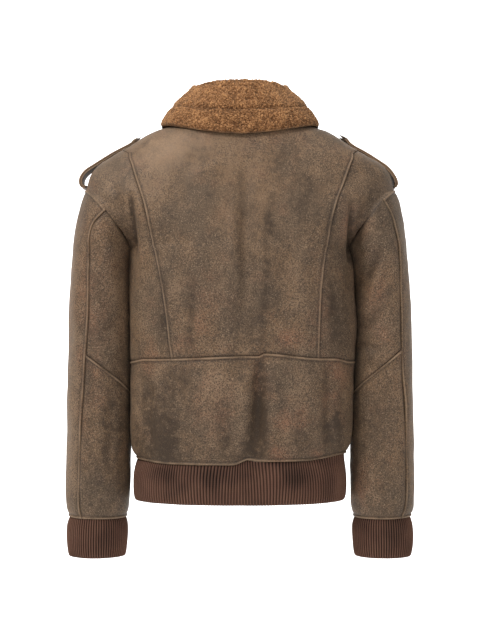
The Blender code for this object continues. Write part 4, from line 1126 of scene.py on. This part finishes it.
def neck_frame(column, side):
    """Neckline point, body normal and the way in which the collar stands up from it."""
    first = float(share_at(0, FRONT_EDGE, False))
    if column > NECK_BACK_COLUMNS + NECK_FRONT_COLUMNS - 1:
        before = neck_frame(column - 1, side)
        last = (body_point(0, first * side, False), body_normal(0, first * side, False), before[2])
        return tuple(a + (b - a) * COLLAR_END_SHARE for a, b in zip(before, last))
    back = column <= NECK_BACK_COLUMNS
    if back:
        share = side * column / NECK_BACK_COLUMNS
    else:
        share = side * (1 - (1 - first) * (column - NECK_BACK_COLUMNS) / NECK_FRONT_COLUMNS)
    point = body_point(0, share, back)
    normal = body_normal(0, share, back)
    up = np.cross(normal, body_point(0, min(share + SHARE_STEP, 1.0), back)
                  - body_point(0, max(share - SHARE_STEP, -1.0), back))
    if up @ (point - body_point(ROW_STEP, share, back)) < 0:
        up = -up
    return point, normal, up / np.linalg.norm(up)


def collar_section(column, side):
    """Face and wall of the collar at one place: up the stand, over the roll, down to its edge."""
    point, normal, up = neck_frame(column, side)
    place = column / 2
    upright = along(UPRIGHT, place)
    rise_way = up * (1 - upright) + np.array([0, 0, 1.0]) * upright
    rise_way = rise_way / np.linalg.norm(rise_way)
    out = normal - rise_way * (normal @ rise_way)
    out = out / np.linalg.norm(out)
    roll = point + rise_way * along(RISE, place) - out * along(LEAN, place)
    base = point + up * NECK_GAP - normal * STAND_INSET
    stand_top = roll - ROLL_RADIUS * (out + rise_way)
    leaf_top = roll + ROLL_RADIUS * (out - rise_way)
    turn = float(along(EDGE_TURN, place))
    row = float(along(EDGE_ROW, place))
    back = turn <= 1.0
    share = side * (turn if back else 2 - turn)
    edge_normal = body_normal(row, share, back)
    edge = body_point(row, share, back) + LEAF_LIFT * edge_normal
    seam = leaf_top + (edge - leaf_top) * FALL_SEAM_SHARE + out * LEAF_BULGE
    slope = edge - leaf_top
    leaf_back = out * (slope @ rise_way) - rise_way * (slope @ out)
    leaf_back /= np.linalg.norm(leaf_back)
    face = np.array([base, (base + stand_top) / 2, stand_top, roll, leaf_top, seam, edge])
    return face, FLEECE * np.array([normal, out, out, -rise_way, -out, leaf_back, -edge_normal])


# noise_vector draws its offsets from this seed, and from the clock without one
noise.seed_set(7)
CURL_SHIFT = Vector((13.7, 5.1, -7.3))


def curl_height(points):
    """Height of the curls: tight round tufts with deep gaps between, in uneven clumps."""
    heights = np.empty(len(points))
    for index, point in enumerate(points):
        place = Vector(point) + CURL_SHIFT
        warp = noise.noise_vector(place / 9.0) * 2.6
        near = noise.voronoi((place + warp) / 4.4)[0]
        small = noise.voronoi((place - warp) / 2.4)[0]
        tuft = min((near[1] - near[0]) / 0.45, 1.0)
        heights[index] = (2.3 * tuft * (2 - tuft) + 0.9 * min((small[1] - small[0]) / 0.5, 1.0)
                          + 1.2 * noise.noise(place / 16.0) - 1.8)
    return heights


def fleece(name):
    """Golden brown curls: painted shade in the gaps between tufts, paler and drier at the tips."""
    wool = Finish(name)
    wisps = wool.noise(480.0, 4.0, 0.7, 1.4)
    cloud = wool.noise(45.0, 3.0)
    strands = wool.noise(190.0, 1.5, 0.5, 1.2)
    off_middle = wool.number("ABSOLUTE", wool.number("SUBTRACT", strands, 0.5))
    strand = wool.ramp(off_middle, 0.0, 0.085, 1.0, 0.0)
    fibres = wool.number("MULTIPLY_ADD", strand, 0.55, wisps)
    # Painted shade: the lower the curled surface, the darker
    shade_by_height = wool.number("MULTIPLY_ADD", wool.painted("curl"), 0.50, wool.times(cloud, 0.22))
    colour = wool.tones(wool.number("MULTIPLY_ADD", fibres, 0.62, shade_by_height),
                        (0.46, (0.040, 0.014, 0.004)), (1.0, (0.462, 0.226, 0.090)),
                        (0.74, (0.162, 0.062, 0.021)))
    return wool.shade(Base_Color=colour, Roughness=0.95, Specular_IOR_Level=0.15, Sheen_Weight=0.35,
                      Sheen_Roughness=0.6, Sheen_Tint=(0.9, 0.62, 0.38, 1),
                      Normal=wool.bump(fibres, 0.8, 0.0012))


CURLS = fleece("golden_fleece")
whole = NECK_BACK_COLUMNS + NECK_FRONT_COLUMNS
sections = [collar_section(abs(column), 1 if column >= 0 else -1)
            for column in range(-whole, whole + 1)]
faces = np.array([face for face, _ in sections]).transpose(1, 0, 2)
walls = np.array([wall for _, wall in sections]).transpose(1, 0, 2)


def fleece_piece(node, first, last, start, end, pitch, sunk):
    """A curly piece of the collar between two places of its section and two of its length."""
    section_guide = np.linspace(first, last, 120)
    down = lengths(along(faces, section_guide), 0).max(axis=1)
    rows = np.interp(np.linspace(0, down[-1], int(down[-1] / pitch)), down, section_guide)
    lines = along(faces, rows).transpose(1, 0, 2)
    length_guide = np.linspace(start, end, 300)
    run = lengths(along(lines, length_guide).transpose(1, 0, 2), 1).max(axis=0)
    columns = np.interp(np.linspace(0, run[-1], int(run[-1] / pitch)), run, length_guide)
    smooth = along(lines, columns).transpose(1, 0, 2)
    back = along(along(walls, rows).transpose(1, 0, 2), columns).transpose(1, 0, 2)
    x, y, z = smooth[..., 0], smooth[..., 1], smooth[..., 2]
    behind_neck = eased(z, 15, 55) * eased(y, -10, 30)
    smooth[..., 2] -= 6.5 * np.exp(-((np.abs(x) - 77) / 15) ** 2) * behind_neck
    normals = outward(smooth, False)
    normals *= np.sign(-(normals * back).sum(-1, keepdims=True))
    curls = curl_height(smooth.reshape(-1, 3)).reshape(smooth.shape[:2])
    from_top = lengths(smooth, 0)
    from_start = lengths(smooth, 1)
    reach = {"top": from_top, "foot": from_top[-1:] - from_top,
             "start": from_start, "end": from_start[:, -1:] - from_start}
    sink = np.zeros(curls.shape)
    for edge, depth in sunk.items():
        sink = np.maximum(sink, depth * np.exp(-(reach[edge] / 4.5) ** 2))
    shaped = smooth + normals * (curls + 0.6 - sink)[..., None]
    piece = cloth_piece(node + "_fleece", shaped, normals, 0.0, shaped - smooth - back)
    # Curl heights for the painted shade in the gaps, darker still in the sunk seams between pieces
    paint(piece, "curl", np.clip((curls + 2.4) / 4.4, 0, 1) * (1 - 0.35 * sink / max(sunk.values())))
    piece.data.materials.append(CURLS)
    piece.data.materials.append(LEATHER)
    for name in ("worn_edge", "seam_shade", "rubbed", "stain_and_shade", "pale_tan_and_light", "grained"):
        paint(piece, name, np.zeros(curls.shape))
    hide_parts(node)
    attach(piece, "jacket")


fleece_piece("collar_band", 0.0, 5.0, 0.0, 2.0 * whole, 1.4, {"foot": 2.2, "top": 1.5})
fleece_piece("collar_fall_right", 5.0, 6.0, 0.0, float(whole), 1.25,
             {"top": 2.2, "end": 1.8, "foot": 1.6})
fleece_piece("collar_fall_left", 5.0, 6.0, float(whole), 2.0 * whole, 1.25,
             {"top": 2.2, "start": 1.8, "foot": 1.6})

# ---------------------------------------------------------------------------------------------
# Epaulettes: straps of two plies of leather stitched together.  Each is sewn in at the head of
# the sleeve, loops over and lies back along the shoulder to a pointed tip held by a snap.
# ---------------------------------------------------------------------------------------------
STRAP_PATHS = {
    1: ((264.8, -108), (270.5, -104.5), (273.5, -97), (271.5, -87), (263, -76.5),
        (247, -66.5), (219, -47.5), (193, -33.5), (167, -18)),
    -1: ((266.9, -106.2), (268.4, -100.5), (267.6, -94), (263.5, -85.5), (257, -76.5),
         (247, -67), (219, -47.3), (193, -33.2), (170, -15)),
}
STRAP_THICKNESS = 4.5
STRAP_HALF_WIDTH = 22.5
# Across the strap: share of the half width, inset, and depth from the upper face
STRAP_SECTION = (
    (0.0, 0.0, 0.0), (0.35, 0.0, 0.0), (0.6, 0.0, 0.05), (0.78, 0.0, 0.15), (0.84, 0.0, 0.65),
    (0.88, 0.0, 0.15), (0.95, 0.0, -0.15), (0.99, 0.0, 0.25), (1.0, 0.0, 0.9), (1.0, 0.0, 1.6),
    (1.0, 1.1, 2.1), (1.0, 1.1, 2.4), (1.0, 0.0, 2.9), (1.0, 0.0, 3.6), (0.99, 0.0, 4.25),
    (0.95, 0.0, 4.6), (0.84, 0.0, 4.1), (0.6, 0.0, 4.4), (0.0, 0.0, 4.5),
)


def tube_piece(name, rings):
    """A closed skin round a row of rings, capped at both ends."""
    rows, columns = rings.shape[:2]
    index = np.arange(rows * columns).reshape(rows, columns)
    after = np.roll(index, -1, axis=1)
    faces_round = np.stack([index[:-1], after[:-1], after[1:], index[1:]], -1).reshape(-1, 4).tolist()
    caps = [index[0, ::-1].tolist(), index[-1].tolist()]
    piece = mesh_piece(name, rings.reshape(-1, 3) * MM, faces_round + caps)
    face_outwards(piece.data)
    return piece


for side, word in SIDES:
    path = np.array(STRAP_PATHS[side], float)
    line = along(path, np.linspace(0, len(path) - 1, 90))
    run = np.gradient(line, axis=0)
    run /= np.linalg.norm(run, axis=1, keepdims=True)
    section = list(STRAP_SECTION)
    section += [(-share, inset, depth) for share, inset, depth in STRAP_SECTION[-2:0:-1]]
    rings = []
    for step, ((x, z), (run_x, run_z)) in enumerate(zip(line, run)):
        part = step / (len(line) - 1)
        half = STRAP_HALF_WIDTH - 1.5 * part
        ring = []
        for share, inset, depth in section:
            across = share * half - math.copysign(inset, share)
            point_back = 14.0 * abs(share) * max(0.0, (part - 0.86) / 0.14) ** 1.6
            sag = 2.0 * share ** 2
            padded = 1.3 * (1 - eased(part, 0.62, 0.80)) * eased(part, 0.02, 0.14)
            proud = padded * (1 - depth / STRAP_THICKNESS)
            px = x + point_back - run_z * (depth - proud)
            pz = z - 0.55 * point_back - sag + run_x * (depth - proud)
            ring.append((side * px, across, pz))
        rings.append(ring)
    rings = np.array(rings)
    rings[..., 2] += 0.5 * wander(rings, 60.0, 3 + side)
    piece = tube_piece("epaulette_" + word + "_strap", rings)
    shares = np.tile(np.abs([share for share, _, _ in section]), (len(line), 1))
    depths = np.tile([depth for _, _, depth in section], (len(line), 1))
    insets = np.tile([inset for _, inset, _ in section], (len(line), 1))
    # Painted shade in the groove between the two plies, under the strap and in its stitching groove
    strap_shade = (insets > 0) + (depths > 4.3) * 0.5 + (depths == 0.65) * 0.8
    for name, values in (("worn_edge", np.clip((shares - 0.9) / 0.08, 0, 1) * (insets == 0) * 0.7),
                         ("seam_shade", np.clip(strap_shade, 0, 1)), ("rubbed", np.full(shares.shape, 0.35)),
                         ("stain_and_shade", np.zeros(shares.shape)), ("pale_tan_and_light", np.full(shares.shape, 0.3)),
                         ("grained", np.full(shares.shape, 0.5))):
        layer = piece.data.attributes.new(name, "FLOAT", "POINT")
        layer.data.foreach_set("value", values.astype(np.float32).reshape(-1))
    piece.data.materials.append(LEATHER)
    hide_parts("epaulette_" + word)
    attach(piece, "jacket")

# ---------------------------------------------------------------------------------------------
# Zip: two woven tapes sewn inside the fronts' edges, brass teeth clamped on them and shut, and a
# slider with its pull tab, both given brass.  The snaps that hold the straps are of the same brass.
# ---------------------------------------------------------------------------------------------
TAPE_FROM = 1.6
TAPE_TO = 18.0
TAPE_DEPTH = 4.3
TAPE_THICKNESS = 1.0
TOOTH_PITCH = 2.6
TEETH_FROM_ROW = 0.9
BRASS = yarn_or_wire("aged_brass", (0.16, 0.105, 0.052), (0.42, 0.29, 0.14), 420.0, 0.38, 1.0).material


def woven_tape(name):
    """Dark cotton tape in a fine twill."""
    tape = yarn_or_wire(name, (0.020, 0.013, 0.009), (0.052, 0.034, 0.022), 700.0, 0.85)
    twill = tape.node("TexWave", "Fac", {"Vector": tape.place, "Scale": 260.0, "Distortion": 0.4},
                      bands_direction="DIAGONAL")
    yarns = tape.tree.nodes["Bump"].outputs["Normal"]
    return tape.shade(Normal=tape.bump(twill, 1.0, 0.0003, yarns))


TAPE_CLOTH = woven_tape("zip_tape_twill")
for side, word in SIDES:
    rows = np.linspace(0.0, RIB_FOOT_ROW, 160)[:, None]
    offsets = np.linspace(TAPE_FROM, TAPE_TO, 9)[None]
    skin = body_point(rows, side * share_at(rows, offsets, False, side), False)
    normals = outward(skin, side < 0)
    normals *= np.sign(-normals[..., 1:2])
    points = skin - normals * TAPE_DEPTH
    piece = cloth_piece("zip_tape_" + word + "_twill", points, normals, TAPE_THICKNESS)
    piece.data.materials.append(TAPE_CLOTH)
    piece.data.materials.append(TAPE_CLOTH)
    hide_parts("zip_tape_" + word)
    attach(piece, "jacket")

# One tooth: a clamp on the tape's edge, a narrow neck and a broader head that meshes
bpy.ops.object.select_all(action="DESELECT")
bpy.ops.mesh.primitive_cube_add(size=1.0 * MM, location=(0, 1.9 * MM, 0))
bpy.ops.object.transform_apply(location=True, rotation=False, scale=False)
bpy.ops.object.mode_set(mode="EDIT")
bpy.ops.mesh.select_all(action="SELECT")
bpy.ops.transform.resize(value=(1.5, 2.2, 2.7), center_override=(0, 1.9 * MM, 0))
bpy.ops.object.mode_set(mode="OBJECT")
tooth = bpy.context.object
for forward, wide, deep in ((0.7, 0.7, 0.62), (0.9, 1.35, 1.2)):
    for face in tooth.data.polygons:
        face.select = face.normal.y < -0.9
    bpy.ops.object.mode_set(mode="EDIT")
    bpy.ops.mesh.select_mode(type="FACE")
    bpy.ops.mesh.extrude_region_move(TRANSFORM_OT_translate={"value": (0, -forward * MM, 0)})
    bpy.ops.transform.resize(value=(wide, 1.0, deep))
    bpy.ops.object.mode_set(mode="OBJECT")
bpy.context.view_layer.objects.active = tooth
rounding = tooth.modifiers.new("rounding", "BEVEL")
rounding.width = 0.14 * MM
rounding.segments = 1
bpy.ops.object.modifier_apply(modifier="rounding")
TOOTH = (np.array([vertex.co for vertex in tooth.data.vertices]) / MM,
         [list(face.vertices) for face in tooth.data.polygons])
bpy.data.objects.remove(tooth)
rows = np.linspace(TEETH_FROM_ROW, RIB_FOOT_ROW, 500)
edge = share_at(rows, FRONT_EDGE, False)
line = body_point(rows, edge, False) * np.array([0.0, 1.0, 1.0])
slope = np.gradient(line, axis=0)
ways = np.stack([np.zeros(len(rows)), slope[:, 2], -slope[:, 1]], axis=1)
ways /= -np.linalg.norm(ways, axis=1, keepdims=True) * np.sign(ways[:, 1:2])
line = line - ways * (TAPE_DEPTH + TAPE_THICKNESS / 2)
run = np.concatenate([[0], np.cumsum(np.linalg.norm(np.diff(line, axis=0), axis=1))])
places, alongs, outs = [], [], []
for side, start in ((1, 1.0), (-1, 1.0 + TOOTH_PITCH / 2)):
    at = np.arange(start, run[-1] - 1.0, TOOTH_PITCH)
    place, slopes, up = (np.array([np.interp(at, run, values[:, axis]) for axis in range(3)]).T
                         for values in (line, slope, ways))
    places.append(place)
    alongs.append(slopes * (-side))
    outs.append(up)
teeth = copied("zip_chain_teeth", TOOTH, *(np.concatenate(part) for part in (places, alongs, outs)))
teeth.data.polygons.foreach_set("use_smooth", [False] * len(teeth.data.polygons))
teeth.data.materials.append(BRASS)
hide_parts("zip_chain")
for name in ("zip_slider", "zip_pull", "snap_left", "snap_right"):
    fitting = bpy.data.objects[name]
    fitting.data.materials.clear()
    fitting.data.materials.append(BRASS)

# ---------------------------------------------------------------------------------------------
# Studio: pale floor that curves up behind, soft white light from the front and above, and a
# level camera in front of the jacket's back.
# ---------------------------------------------------------------------------------------------
profile = [(6.0, -1.45), (-4.0, -1.45), (-5.0, -1.35), (-5.8, -1.0), (-6.3, -0.3), (-6.5, 0.8),
           (-6.5, 5.0)]
verts = [(x, y, z) for y, z in profile for x in (-9.0, 9.0)]
faces = [(2 * step, 2 * step + 1, 2 * step + 3, 2 * step + 2) for step in range(len(profile) - 1)]
floor = mesh_piece("floor", verts, faces)
floor.data.materials.append(Finish("pale_floor").shade(Base_Color=(0.93, 0.93, 0.93, 1), Roughness=0.9))


def softbox(name, place, size, power, target=(0.0, 0.0, -0.33)):
    light = bpy.data.lights.new(name, "AREA")
    light.shape = "RECTANGLE"
    light.size, light.size_y = size
    light.energy = power
    lamp = bpy.data.objects.new(name, light)
    lamp.location = place
    lamp.rotation_euler = (Vector(target) - Vector(place)).to_track_quat("-Z", "Y").to_euler()
    bpy.context.scene.collection.objects.link(lamp)


softbox("key", (1.6, 1.5, 1.8), (0.8, 0.8), 64)
softbox("fill", (-2.2, 2.2, 0.1), (1.4, 2.0), 15)
softbox("front", (0.4, 3.2, -0.5), (1.6, 1.6), 7)
softbox("top", (0.0, 0.2, 2.2), (1.8, 1.2), 18)
softbox("backdrop", (0.0, -3.0, 2.6), (6.0, 2.0), 420, (0.0, -6.5, -0.4))
world = bpy.data.worlds.new("studio")
world.use_nodes = True
world.node_tree.nodes["Background"].inputs["Color"].default_value = (1.0, 1.0, 1.0, 1)
world.node_tree.nodes["Background"].inputs["Strength"].default_value = 0.5
bpy.context.scene.world = world

bpy.context.scene.view_settings.view_transform = "Standard"

camera = bpy.data.objects.new("camera", bpy.data.cameras.new("camera"))
camera.data.lens = 81.8
camera.data.sensor_width = 36.0
camera.location = (0.0, 2.5, -0.334)
camera.rotation_euler = (math.pi / 2, 0.0, math.pi)
bpy.context.scene.collection.objects.link(camera)
bpy.context.scene.camera = camera
